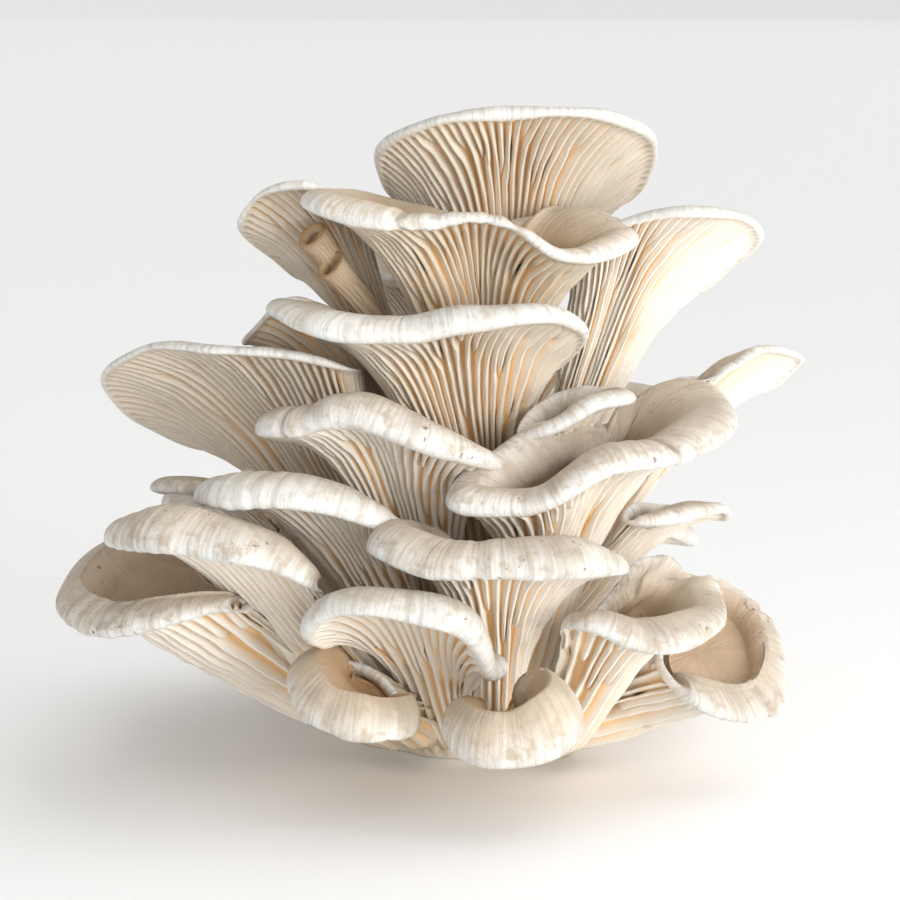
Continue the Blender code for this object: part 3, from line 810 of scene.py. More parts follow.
    def skin(self) -> Skin:
        """The closed skin: gills and lip on fine columns, the top on half as many.

        Returns:
            The skin.
        """
        growth = Growth(self)
        rings, normals, stain = self.smooth_rings(growth)
        heights, (gills, lips, tops, floors) = self.gill_heights(), self.detail.value
        rows, wells = gills + lips, tops + floors
        steps = np.linalg.norm(np.diff(rings, axis=0), axis=2).mean(axis=1)
        travel = np.concatenate([[0.0], np.cumsum(steps)])[:, None]
        girths = ring_lengths(rings[:gills])
        blades = Gills(heights, girths, travel[:gills, 0], self)
        places = blades.places()
        drift = Ripple(self.seed + 11, 80.0, 26.0, 6).at(read_rings(rings[:gills], places))
        places = places + DRIFT * drift * ease(heights, 0.1, 0.5)[:, None] / girths[:, None]
        fine, coarse = places[-1], places[-1, ::2]
        inset = read_rings(self.groove_depths(rings)[..., None], places)[..., 0] * blades.sunk()
        lower = read_rings(rings[:gills], places)
        lower = lower - unit(read_rings(normals[:gills], places)) * inset[..., None]
        blocks = [lower, read_rings(rings[gills:rows], fine), read_rings(rings[rows:], coarse)]
        tips = [growth.foot, growth.bowl(np.zeros(1))[0].mean(axis=0)]
        points = np.concatenate([*(block.reshape(-1, 3) for block in blocks), tips])
        columns, half = len(fine), len(coarse)
        shapes = [block.shape[:2] for block in blocks]
        top, tip = rows * columns, rows * columns + wells * half
        faces = [
            grid_faces(rows, columns),
            halving_faces(columns, top - columns, top),
            grid_faces(wells, half, top),
            fan_faces(columns, 0, tip, closing_top=False),
            fan_faces(half, tip - half, tip + 1, closing_top=True),
        ]
        radius = spread(shapes, [girths[-1] / (2 * math.pi)] * 3)
        turn = 2 * math.pi * spread(shapes, [places, fine, coarse])
        far = spread(shapes, np.split(travel, [gills, rows]), (0.0, travel[-1, 0]))
        # Painted shade, strongest at the foot of the gill side.
        painted_foot_shade = PAINTED_FOOT_SHADE * (1.0 - ease(heights, 0.30, 0.90))[:, None]
        # The groove colour grows with depth between the blades. It is partly the roots' own warmer
        # colour and partly painted warm shade.
        shadow = blades.sunk() * np.clip(inset / (0.4 * self.gill_depth), 0.0, 1.0)
        rising = np.arange(1, lips + 1)[:, None] / lips
        sinking = np.minimum(np.arange(1, wells + 1)[:, None] / tops, 1.0)
        lip_upper = np.where(rising * lips > 1, 1.0, FIRST_LIP)
        stains = [read_rings(stain[gills:rows, :, None], fine)[..., 0]]
        stains.append(read_rings(stain[rows:, :, None], coarse)[..., 0])
        return Skin(
            points,
            faces,
            grain=np.stack([radius * np.cos(turn), radius * np.sin(turn), far], axis=1),
            groove=spread(shapes, [1.0 - (1.0 - shadow) * (1.0 - painted_foot_shade), 0.0, 0.0]),
            upper=spread(shapes, [0.0, lip_upper, 1.0], (0.0, 1.0)),
            hollow=spread(shapes, [0.0, CREST * rising, CREST + (1 - CREST) * sinking], (0.0, 1.0)),
            stain=spread(shapes, [0.0, *stains]),
        )

    def build(self, finish: bpy.types.Material) -> bpy.types.Object:
        """The mushroom as a piece in the given finish."""
        return self.skin().piece(self.name, self.slot, finish)


YOUNG: dict[str, object] = {  # the settings of a mushroom that has hardly opened
    "throat": 0.93, "dip": 0.2, "lip": 1.9, "rise": 0.9, "flare": 12, "flesh": 2,
    "tone": Tone.YOUNG, "detail": Detail.PLAIN, "gill_pitch": 1.3, "gill_depth": 0.18,
    "swell": 0.25, "slot": "young_flesh",
}

MUSHROOMS: tuple[Mushroom, ...] = (
    Mushroom(
        "front_middle", (8, -38, 14), (8, -66, 71.5),
        ((199, 36, 6), (225, 28, 2), (270, 22, 2), (325, 31, 2), (348, 36, 0, 5), (10, 33, -4, 5),
         (45, 24, -3), (90, 14, -5), (140, 22, -1), (180, 33, 5)),
        foot_radius=7, lip=8.5, rise=1, flesh=8, tone=Tone.FLECKED, seed=1,
        folds=(Fold(254, 2.4, 0.6, 0.5, 0.05),), ribs=(Ribs(236, 14, 4.5, 0.18),),
    ),
    Mushroom(
        "front_left", (-6, -34, 12), (-22, -68, 52),
        ((212, 28, 4, 6), (222, 28, 8, 6), (275, 24, 10, 7.5), (308, 29, 5, 8), (338, 28, -11, 6),
         (0, 31.5, -11.5, 5), (45, 20, -9, 4), (90, 16, -2, 4), (150, 14, 0, 5), (185, 20, -4, 5)),
        foot_radius=8, seed=2,
    ),
    Mushroom(
        "front_left_small", (-15, -35, 15), (-34, -72, 33.5),
        ((202, 18, 5, 6), (241, 19.5, -2.5, 8), (274, 20, -5.5, 8), (320, 19, -6.5, 7),
         (352, 15.5, -5, 4.5), (45, 11.5, 3.5, 3), (90, 11.5, 7, 3), (124, 12, 8.5, 3.6),
         (165, 16, 8.5, 5)),
        foot_radius=10, throat=0.78, rise=0.9, back=1.6, flare=55, flesh=8, dip=0.25,
        tone=Tone.WARM, seed=3, folds=(Fold(250, 5, 0.8, 0.5, 0.06), Fold(292, 4, 0.7, 0.5, 0.05)),
    ),
    Mushroom(
        "front_right_small", (6, -38, 12), (11, -84, 30),
        ((357, 15.5, 1.5, 10), (40, 14.5, 6.5, 7), (92, 8, -4, 3.5), (160, 12, -3, 4),
         (197, 16.5, -3, 6.5), (230, 17, -5.5, 8.5), (274, 16, -6, 8.5), (320, 16.5, -2.5, 11)),
        foot_radius=5.5, throat=0.75, lip=7.5, rise=1.1, back=1.5, flare=55, flesh=8, dip=0.25,
        tone=Tone.WARM, seed=4, folds=(Fold(84, 6, 1.2, 0.9, 0.5),),
    ),
    Mushroom(
        "right_bowl", (26, -35, 11), (50, -60, 58),
        ((107, 10, 8, 3), (62, 17, 10, 5), (37, 26, 3.5), (21, 25, -2), (332, 18, -8, 8),
         (259, 15.5, -8.5, 8), (227, 21, -4, 7), (204, 24.8, -4.5, 5), (186, 23, -8.5, 3.4),
         (150, 17, -6, 2.6)),
        foot_radius=9.5, rise=0.75, back=1.35, leave=(0.6, -0.45, 0.6), settle=0.85,
        tone=Tone.FLECKED, seed=5, folds=(Fold(48, 4.5, 1.6, 1, 0), Fold(68, 4, -0.9, 0.9)),
    ),
    Mushroom(
        "right_low", (30, -26, 13), (75, -42, 38),
        ((95, 20, 20, 5), (61, 23, 11), (18, 19.5, 0), (322, 18, -12, 9), (265, 17.5, -12.5, 9),
         (231, 21, -7, 8), (202, 20, -1, 5), (150, 15, 9, 4)),
        foot_radius=10, throat=0.91, rise=0.45, back=1.5, flare=56, leave=(0.95, -0.3, 0.1),
        spring=1.2, settle=0.4, dip=0.18, tone=Tone.FLECKED, seed=6,
        folds=(Fold(52, 1.6, 0.8, 0.5, 0.3), Fold(312, 0.7, 1, 0.2, 0.6)),
        ribs=(Ribs(45, 26, 6, 0.5), Ribs(275, 12, 2.4, 0.16)),
    ),
    Mushroom(
        "right_ledge", (16, -24, 22), (40, -50, 101),
        ((206, 49, -11), (224, 36, -12), (266, 23, -1), (334, 26, 2), (14, 37, 10),
         (31.5, 38, 16, 5.5), (45, 35, 17, 5), (62, 26, 13, 5), (90, 17, 4), (130, 20, 4),
         (176, 26, 3)),
        lip=8, back=1.3, flesh=8, tone=Tone.FLECKED, seed=7,
        folds=(Fold(322, 1.3, 1.1, 0.7, 0.3), Fold(338, 3, 0.9, 0.8, 0.1)),
        ribs=(Ribs(300, 22, 7, 0.3),),
    ),
    Mushroom(
        "left_ledge", (-22, -28, 14), (-73, -58, 75),
        ((199, 33, 4.5, 6), (220, 29, 5), (259, 23.5, 3.5), (298, 28.5, 0, 7.8),
         (316, 30.5, -4.5, 5.2), (334, 32, -9.5, 2.8), (350, 26, -10, 2.2), (20, 18, -7, 2.4),
         (90, 14, -8, 4), (150, 25, -2, 5)),
        foot_radius=12, throat=0.75, lip=9.5, rise=1, leave=(-0.8, -0.4, 0.5), settle=0.8,
        flesh=5, tone=Tone.FLECKED, seed=8, ribs=(Ribs(215, 16, 4.5, 0.3),),
    ),
    Mushroom(
        "left_low", (-32, -26, 20), (-91, -40, 57.5),
        ((134.5, 30, 7), (172, 32, -2), (222, 26.5, -7), (270, 26.5, -3), (300, 29, 0, 6.2),
         (324, 30.5, -1, 6), (345, 24, 2, 5), (20, 15, 5, 3), (90, 20, 10, 5)),
        foot_radius=12, throat=0.86, lip=7.5, rise=0.65, back=1.5, flare=55,
        leave=(-0.93, -0.25, 0.05), spring=1.15, settle=0.4, dip=0.25, tone=Tone.FLECKED, seed=9,
        ribs=(Ribs(235, 26, 8, 0.4),),
    ),
    Mushroom(
        "left_lower_middle", (-10, -22, 18), (-50, -56, 89.5),
        ((200, 30, 1.5, 6.5), (222, 27, 2, 8.2), (245, 23, 3), (294, 22, 0), (341, 30, -8, 6),
         (355, 32, -9, 5), (30, 24.5, -12, 4.5), (90, 13, -7, 4), (150, 20, -5, 4.5)),
        lip=8, rise=0.95, seed=10, ribs=(Ribs(225, 18, 5, 0.35),),
    ),
    Mushroom(
        "left_middle", (-6, -20, 26), (-32, -50, 109.5),
        ((204, 30, 1, 7), (222, 26, 1.5, 8), (256, 20.6, 5), (315, 28.5, -3.5),
         (349, 40, -10.5, 5.5), (20, 31, -13, 4.5), (90, 13, -7, 4.5), (150, 22, -6, 4),
         (180, 26, -2, 5)),
        lip=8.5, rise=1, flesh=8, tone=Tone.FLECKED, seed=11,
        folds=(Fold(219, 1.3, 0.6, 0.5, 0.4), Fold(236, 3.5, 0.8, 0.5, 0.1)),
    ),
    Mushroom(
        "left_edge", (-22, -12, 20), (-77, -32, 86.5),
        ((203, 18, 3), (270, 12, 3), (0, 10, 6), (90, 14, 0.5), (150, 18.5, -0.5)),
        foot_radius=6, lip=5.5, rise=0.6, flare=45, tone=Tone.FLECKED, seed=12,
    ),
    Mushroom(
        "centre", (8, -14, 40), (-12, -38, 138),
        ((194, 47, 7, 5), (205, 42, 3.5, 6.5), (242, 25, 0), (305, 27, 3.5), (338, 42, 4.5, 5.5),
         (350, 46, 0, 4.5), (12, 38, -13, 4.5), (90, 13, -11, 4.5), (160, 35, -4, 5)),
        lip=8, flesh=8, tone=Tone.CREAM, seed=13,
    ),
    Mushroom(
        "right_inner", (14, -14, 50), (34, -40, 112),
        ((208, 20, -5.6), (237, 14, -2), (281, 10, 3.5), (352, 14, 5), (90, 8, 6), (150, 14, 2)),
        foot_radius=6, lip=5, flare=45, seed=14,
    ),
    Mushroom(
        "right_small", (20, -12, 30), (66, -26, 77),
        ((228, 24, 2.5), (260, 16, 3.5), (330, 14, 4), (0, 13, 0.5), (60, 11.5, 0.5),
         (120, 13.5, 2.5), (180, 17.5, 4)),
        foot_radius=5, lip=3.6, flare=40, seed=15,
    ),
    Mushroom(
        "right_far", (22, -2, 40), (86, -2, 117.5),
        ((293, 13, 11), (5, 19.5, 5.5), (59, 15, -6), (90, 13, -3), (180, 21.5, 0),
         (234.6, 18.5, 3)),
        foot_radius=6, throat=0.65, lip=3, flare=35, seed=16,
    ),
    Mushroom(
        "left_fan", (-16, -6, 30), (-71.5, -14, 121),
        ((181, 43, -2), (210, 35, 9.5), (261, 31, 11.5), (304, 37, 9.5), (323, 42, 5.5),
         (350, 39, 2.5), (80, 17, -22), (133, 28, -26), (160, 38.5, -15)),
        lip=3, flare=40, tone=Tone.CREAM, seed=17,
    ),
    Mushroom(
        "upper_middle", (4, -8, 62), (2, -26, 168),
        ((196, 50, 7, 6), (209, 39.5, 3, 7.5), (230, 26, 2, 6), (262, 19.5, 4, 4.5),
         (300, 22, 1, 4.5), (330, 31, -8, 5), (342, 39, -8, 6), (353, 46, -4, 6), (8, 38, 2, 6),
         (40, 20, 0), (90, 13, -4), (140, 26, 4), (168, 42, 7, 6.5)),
        lip=5.5, flesh=8, tone=Tone.WARM, seed=18, folds=(Fold(222, 2.4, 1, 0.4, 0.05),
        Fold(300, 2.4, 0.9, 0.4), Fold(62, 3, 1.6, 1), Fold(30, 2.6, -1.3, 1)),
        ribs=(Ribs(250, 26, 6.5, 0.45),),
    ),
    Mushroom(
        "upper_left", (-4, 2, 66), (-49, -6, 170),
        ((201, 23, -1), (227.5, 23, 7.5), (262, 21, 11), (291, 18, 8.5), (0, 19, 2),
         (80, 13, -15), (112, 11, -20), (154, 13, -14)),
        foot_radius=8, lip=3, flare=40, flesh=7, tone=Tone.CREAM, seed=19,
    ),
    Mushroom(
        "upper_right", (14, -2, 46), (59.5, -12, 164),
        ((236, 21, 6), (283, 24, 9.5), (323, 29, 7.5), (355, 30, 0.5), (33, 29, -10),
         (61, 26, -20), (105, 15, -5), (140, 20, 4.5), (162, 29, 2), (200, 25, 0)),
        lip=3.2, flare=40, seed=20,
    ),
    Mushroom(
        "crown", (8, 5, 60), (14, -2, 187.5),
        ((3, 43.5, 1), (28, 43, -13), (90, 32, -16), (170, 41, -9), (188, 42, 2), (217, 36, 11),
         (270, 27, 15), (325, 37, 13), (345, 42, 8)),
        lip=4, flare=45, flesh=8, tone=Tone.CREAM, seed=21,
    ),
    Mushroom(
        "shaded_left", (-4, 0, 60), (-42, -14, 137),
        ((197, 26, -1), (213, 21, 7), (270, 14, 2), (0, 21, -8), (45, 20, -9), (90, 17, -6),
         (135, 25, -6)),
        foot_radius=8, lip=2.4, flare=40, tone=Tone.WARM, seed=22,
    ),
    Mushroom(
        "rear_upper", (2, 8, 58), (-6, 28, 152),
        ((90, 24, 8), (60, 32, 5), (20, 38, -2), (0, 34, -4), (330, 20, -6), (270, 13, -3),
         (210, 26, -5), (180, 38, 0), (160, 42, 4), (120, 32, 8)),
        lip=5, flare=45, flesh=8, detail=Detail.PLAIN, seed=23,
    ),
    Mushroom(
        "rear_middle", (6, 12, 38), (12, 42, 124),
        ((90, 24, 5), (50, 35, 0), (15, 42, -7), (340, 32, -5), (300, 15, -1), (250, 14, 0),
         (195, 32, 2), (165, 39, 7), (130, 32, 8)),
        flesh=8, detail=Detail.PLAIN, seed=24,
    ),
    Mushroom(
        "rear_left", (-8, 10, 28), (-46, 34, 104),
        ((120, 30, 4), (150, 36, -2), (180, 34, -6), (210, 24, -6), (270, 14, -1), (330, 18, 1),
         (20, 28, 4), (50, 34, 8), (90, 28, 7)),
        flare=45, flesh=8, detail=Detail.PLAIN, seed=25,
    ),
    Mushroom(
        "rear_right", (18, 10, 28), (46, 42, 94),
        ((60, 32, 6), (30, 34, 3), (0, 30, -4), (330, 20, -4), (260, 14, 0), (200, 22, -1),
         (160, 28, -4), (130, 30, 2), (90, 28, 8)),
        flesh=8, detail=Detail.PLAIN, seed=26,
    ),
    Mushroom(
        "rear_low_left", (-16, 14, 14), (-68, 46, 66),
        ((135, 32, -2), (165, 34, 0), (195, 28, -2), (240, 17, 2.5), (300, 14, 6), (350, 20, 4),
         (30, 28, -2), (60, 30, -4), (100, 28, 2)),
        throat=0.65, lip=6.5, detail=Detail.PLAIN, seed=27,
    ),
    Mushroom(
        "rear_low_middle", (0, 20, 18), (-8, 64, 76),
        ((90, 22, 2), (55, 28, 6), (20, 36, 6), (345, 24.5, 4.5), (270, 14.5, 1.5), (200, 24, -5),
         (170, 38, -8), (130, 32, -2)),
        lip=6.5, detail=Detail.PLAIN, seed=28,
    ),
    Mushroom(
        "rear_low_right", (16, 18, 12), (52, 56, 54),
        ((60, 28, -6), (30, 28, -5), (0, 22, -1), (320, 17, 4), (250, 14, 8), (190, 22, 3),
         (155, 28, -6), (110, 26, -8)),
        lip=6.5, flesh=7, detail=Detail.PLAIN, seed=29,
    ),
    Mushroom(
        "rear_foot_left", (-10, 24, 8), (-36, 74, 38),
        ((90, 20, -6), (50, 22, -2), (0, 18, 6.5), (300, 12, 13), (240, 13, 12), (180, 24.5, 2),
         (135, 24, -4)),
        foot_radius=7, throat=0.65, detail=Detail.PLAIN, seed=30,
    ),
    Mushroom(
        "rear_foot_right", (6, 26, 8), (14, 82, 32),
        ((90, 18, -6), (45, 22, -5), (0, 23, 2), (300, 14, 12.5), (250, 11, 13.5),
         (190, 20.5, 4.5), (140, 20, -5)),
        foot_radius=7, throat=0.65, detail=Detail.PLAIN, seed=31,
    ),
    Mushroom(
        "side_left", (-20, 6, 12), (-73, 12, 69),
        ((180, 26, -2), (210, 20, 0), (270, 13, 4), (330, 13, 5), (30, 18, -2), (90, 24, -4),
         (135, 30, -6)),
        foot_radius=7, lip=5, flare=45, detail=Detail.PLAIN, seed=32,
    ),
    Mushroom(
        "side_right", (20, 8, 12), (60, 16, 40),
        ((0, 22, -3), (40, 28, -6), (80, 26, -6), (130, 18, 4), (190, 14, 10), (260, 12, 5),
         (320, 15, 3)),
        foot_radius=8, lip=5.5, detail=Detail.PLAIN, seed=33,
    ),
    Mushroom(
        "young_upper", (-36, -8, 148), (-48.5, -24, 166),
        ((52, 3.6, 3.6), (112, 4, 2), (172, 4, -2), (232, 3.6, -3.6), (292, 4, -2), (352, 4, 2)),
        foot_radius=3.5, seed=34, **YOUNG,
    ),
    Mushroom(
        "young_lower", (-28, -6, 136), (-43, -23, 157),
        ((52, 4, 3.8), (112, 4, 2), (172, 4, -2), (232, 4, -3.8), (292, 4, -2), (352, 4, 2)),
        foot_radius=4.5, seed=35, **YOUNG,
    ),
)


@dataclass(frozen=True)
class FusedBase:
    """The stump that every foot grows from: lobed, with gills running down it, and cut flat."""

    name: str = "base"
    slot: str = "base_flesh"
    tone: Tone = Tone.STUMP
    rings: tuple[tuple[float, ...], ...] = (  # height, centre in X and Y, radius in X and Y, mm
        (0.0, 0.0, 4.0, 36.5, 28.5),
        (7.0, 0.0, 1.0, 41.0, 36.0),
        (20.0, 1.0, -3.0, 39.0, 38.0),
        (38.0, 2.0, -2.0, 32.0, 30.0),
        (58.0, 3.0, -1.0, 25.0, 22.0),
        (80.0, 3.0, 0.0, 18.0, 16.0),
        (100.0, 3.0, 1.0, 11.0, 10.0),
        (110.0, 3.0, 1.0, 4.0, 4.0),
    )
    tip_rise: float = 1.5  # of the closing point above the last ring
    lobes: int = 7
    lobe_depth: float = 0.05
    ridges: int = 60  # decurrent gills round the stump
    ridge_height: float = 2.2
    rows: int = 46  # rings up the side
    face_rows: int = 13  # and on the cut face
    columns: int = 384
    seed: int = 90

    def skin(self) -> Skin:
        """The closed skin, from the middle of the cut face up the side to the top.

        Radius = ring x (1 + lobe depth x cos(lobes x angle)) - ridge height x groove, where the
        groove is cos^2 of the angle times half the number of ridges, and fades towards the cut.

        Returns:
            The skin.
        """
        angle = np.arange(self.columns) / self.columns * 2 * math.pi
        cosine, sine = np.cos(angle), np.sin(angle)
        table = np.array(self.rings)
        height = table[-1, 0] * np.linspace(0.0, 1.0, self.rows) ** 1.3
        x, y, wide, deep = (np.interp(height, table[:, 0], part)[:, None] for part in table.T[1:])
        lobed = 1 + self.lobe_depth * np.cos(self.lobes * angle)
        level = np.broadcast_to(height[:, None], (self.rows, self.columns))
        rough = np.stack([x + wide * lobed * cosine, y + deep * lobed * sine, level], axis=2)
        swell = Ripple(self.seed, 40.0, 14.0, 6).at(rough)
        phase = self.ridges * angle / 2 + 1.1 * swell
        groove = np.cos(phase) ** 2 * ease(height, 0.5, 6.0)[:, None]
        lift = 0.9 * swell * ease(height, 0.0, 6.0)[:, None] - self.ridge_height * groove
        side = rough + np.stack([cosine, sine, 0 * angle], axis=1) * lift[..., None]
        shares = np.linspace(0.04, 1.0, self.face_rows + 1)[:-1]
        middle = np.array([*self.rings[0][1:3], 0.0])
        top = table[-1, [1, 2, 0]] + (0.0, 0.0, self.tip_rise)
        rings = np.concatenate([middle + (side[0] - middle) * shares[:, None, None], side])
        points = np.concatenate([rings.reshape(-1, 3), [middle, top]])
        tip = len(points) - 2
        faces = [
            grid_faces(len(rings), self.columns),
            fan_faces(self.columns, 0, tip, closing_top=False),
            fan_faces(self.columns, tip - self.columns, tip + 1, closing_top=True),
        ]
        depth, cut, plain = np.zeros((3, len(points)))
        # The grooves between the ridges take the groove colour: partly the flesh's own, partly
        # painted shade.
        depth[self.face_rows * self.columns : tip] = groove.ravel()
        cut[: (self.face_rows + 1) * self.columns] = cut[tip] = 1.0
        return Skin(points, faces, points * (1.0, 1.0, 0.6), depth, cut, plain, plain)

    def build(self, finish: bpy.types.Material) -> bpy.types.Object:
        """The base as a piece in the given finish."""
        return self.skin().piece(self.name, self.slot, finish)


class Graph:
    """A node tree being wired: each method adds a node and returns the socket it puts out."""

    def __init__(self, tree: bpy.types.NodeTree) -> None:
        """Takes the tree to add to."""
        self.tree = tree

    def feed(self, socket: Socket, value: object) -> None:
        """Links a socket to another one, or sets its own value.

        Args:
            socket: The input socket.
            value: A socket, a number, a vector or a colour, which is made opaque.
        """
        if isinstance(value, bpy.types.NodeSocket):
            self.tree.links.new(value, socket)
        else:
            socket.default_value = (*value, 1.0) if socket.type == "RGBA" else value

    def add(self, kind: str, inputs: dict, output: int | str = 0, **settings: object) -> Socket:
        """Adds a node.

        Args:
            kind: The node's class without its ShaderNode prefix.
            inputs: What its inputs take, by name or number: sockets or values.
            output: Which of its outputs is wanted.
            **settings: Properties to set on it.

        Returns:
            The output's socket.
        """
        made = self.tree.nodes.new("ShaderNode" + kind)
        for title, value in settings.items():
            setattr(made, title, value)
        for place, value in inputs.items():
            self.feed(made.inputs[place], value)
        return made.outputs[output]

    def math(self, operation: str, *values: object, clamp: bool = False) -> Socket:
        """One arithmetic step on sockets or numbers, which clamp keeps from 0 to 1."""
        return self.add("Math", dict(enumerate(values)), operation=operation, use_clamp=clamp)

    def times(self, first: object, second: object, clamp: bool = False) -> Socket:
        """The product of two sockets or numbers, which clamp keeps from 0 to 1."""
        return self.math("MULTIPLY", first, second, clamp=clamp)

    def plus(self, first: object, second: object) -> Socket:
        """The sum of two sockets or numbers."""
        return self.math("ADD", first, second)

    def blend(self, share: object, first: object, second: object) -> Socket:
        """Mixes two colours: the first where the share is 0, the second where it is 1."""
        inputs = {0: share, 6: first, 7: second}
        return self.add("Mix", inputs, 2, data_type="RGBA", blend_type="MIX")

    def span(self, value: object, low: object, high: object) -> Socket:
        """A smooth step, 0 where the value is low and 1 where it is high."""
        inputs = {"Value": value, "From Min": low, "From Max": high}
        return self.add("MapRange", inputs, "Result", interpolation_type="SMOOTHSTEP")

    def noise(
        self,
        vector: object,
        scale: object,
        detail: float = 0.0,
        roughness: float = 0.5,
        output: str = "Fac",
    ) -> Socket:
        """A noise.

        Args:
            vector: Where it is read.
            scale: How fine it is, in waves a metre.
            detail: How many finer noises are added to it.
            roughness: How strong each of those is beside the one before.
            output: "Fac" for a value, "Color" for three at once.

        Returns:
            The noise's socket.
        """
        inputs = {"Vector": vector, "Scale": scale, "Detail": detail, "Roughness": roughness}
        return self.add("TexNoise", inputs, output)

    def read(self, title: str, output: str = "Fac") -> Socket:
        """Reads one of the skin's own attributes."""
        return self.add("Attribute", {}, output, attribute_name=title)

    def group(self, effect: bpy.types.NodeTree, **values: object) -> Socket:
        """Places a shared effect, with its inputs by name."""
        return self.add("Group", values, node_tree=effect)


class Effects:
    """The patterns that several finishes share, each a node group built once."""

    def __init__(self) -> None:
        """Builds the groups."""
        self.fibres = self.make_fibres()
        self.mottle = self.make_mottle()
        self.flecks = self.make_flecks()

    @staticmethod
    def start(name: str, output: str, **inputs: float | None) -> tuple[Graph, dict, Socket]:
        """Starts a node group.

        Args:
            name: Its name.
            output: The name of its one output, a value.
            **inputs: Each input's value, or None for a vector.

        Returns:
            Its graph, what each input gives by name, and the socket that takes its output.
        """
        tree = bpy.data.node_groups.new(name, "ShaderNodeTree")
        for title, value in inputs.items():
            kind = "NodeSocketVector" if value is None else "NodeSocketFloat"
            socket = tree.interface.new_socket(name=title, in_out="INPUT", socket_type=kind)
            if value is not None:
                socket.default_value = value
        tree.interface.new_socket(name=output, in_out="OUTPUT", socket_type="NodeSocketFloat")
        source, end = tree.nodes.new("NodeGroupInput"), tree.nodes.new("NodeGroupOutput")
        return Graph(tree), {title: source.outputs[title] for title in inputs}, end.inputs[0]

    def make_fibres(self) -> bpy.types.NodeTree:
        """Fine threads that run from the hollow to the rim: noise drawn out along the skin.

        Returns:
            The group.
        """
        graph, given, out = self.start("Fibres", "Height", Vector=None, Scale=900.0, Length=0.08)
        apart = graph.add("SeparateXYZ", {0: given["Vector"]}).node.outputs
        along = graph.times(apart[2], given["Length"])
        drawn = graph.add("CombineXYZ", {0: apart[0], 1: apart[1], 2: along})
        graph.feed(out, graph.noise(drawn, given["Scale"], 1.5, 0.6))
        return graph.tree

    def make_mottle(self) -> bpy.types.NodeTree:
        """Soft clouds with broken edges: a smooth step through a noise.

        Returns:
            The group.
        """
        graph, given, out = self.start(
            "Mottle", "Mask", Vector=None, Scale=60.0, Low=0.45, High=0.65
        )
        cloud = graph.noise(given["Vector"], given["Scale"], 2.5, 0.62)
        graph.feed(out, graph.span(cloud, given["Low"], given["High"]))
        return graph.tree

    def make_flecks(self) -> bpy.types.NodeTree:
        """Small dark specks: cells whose random number is under the share, near their point.

        Returns:
            The group.
        """
        graph, given, out = self.start(
            "Flecks", "Mask", Vector=None, Scale=420.0, Share=0.1, Size=0.18
        )
        inputs = {"Vector": given["Vector"], "Scale": given["Scale"]}
        cells = graph.add("TexVoronoi", inputs).node.outputs
        apart = graph.add("SeparateColor", {0: cells["Color"]}).node.outputs
        chosen = graph.math("LESS_THAN", apart[0], given["Share"])
        size = graph.times(given["Size"], apart[1])
        near = graph.math("SUBTRACT", 1.0, graph.math("DIVIDE", cells["Distance"], size))
        graph.feed(out, graph.times(chosen, graph.times(near, 2.5, clamp=True)))
        return graph.tree


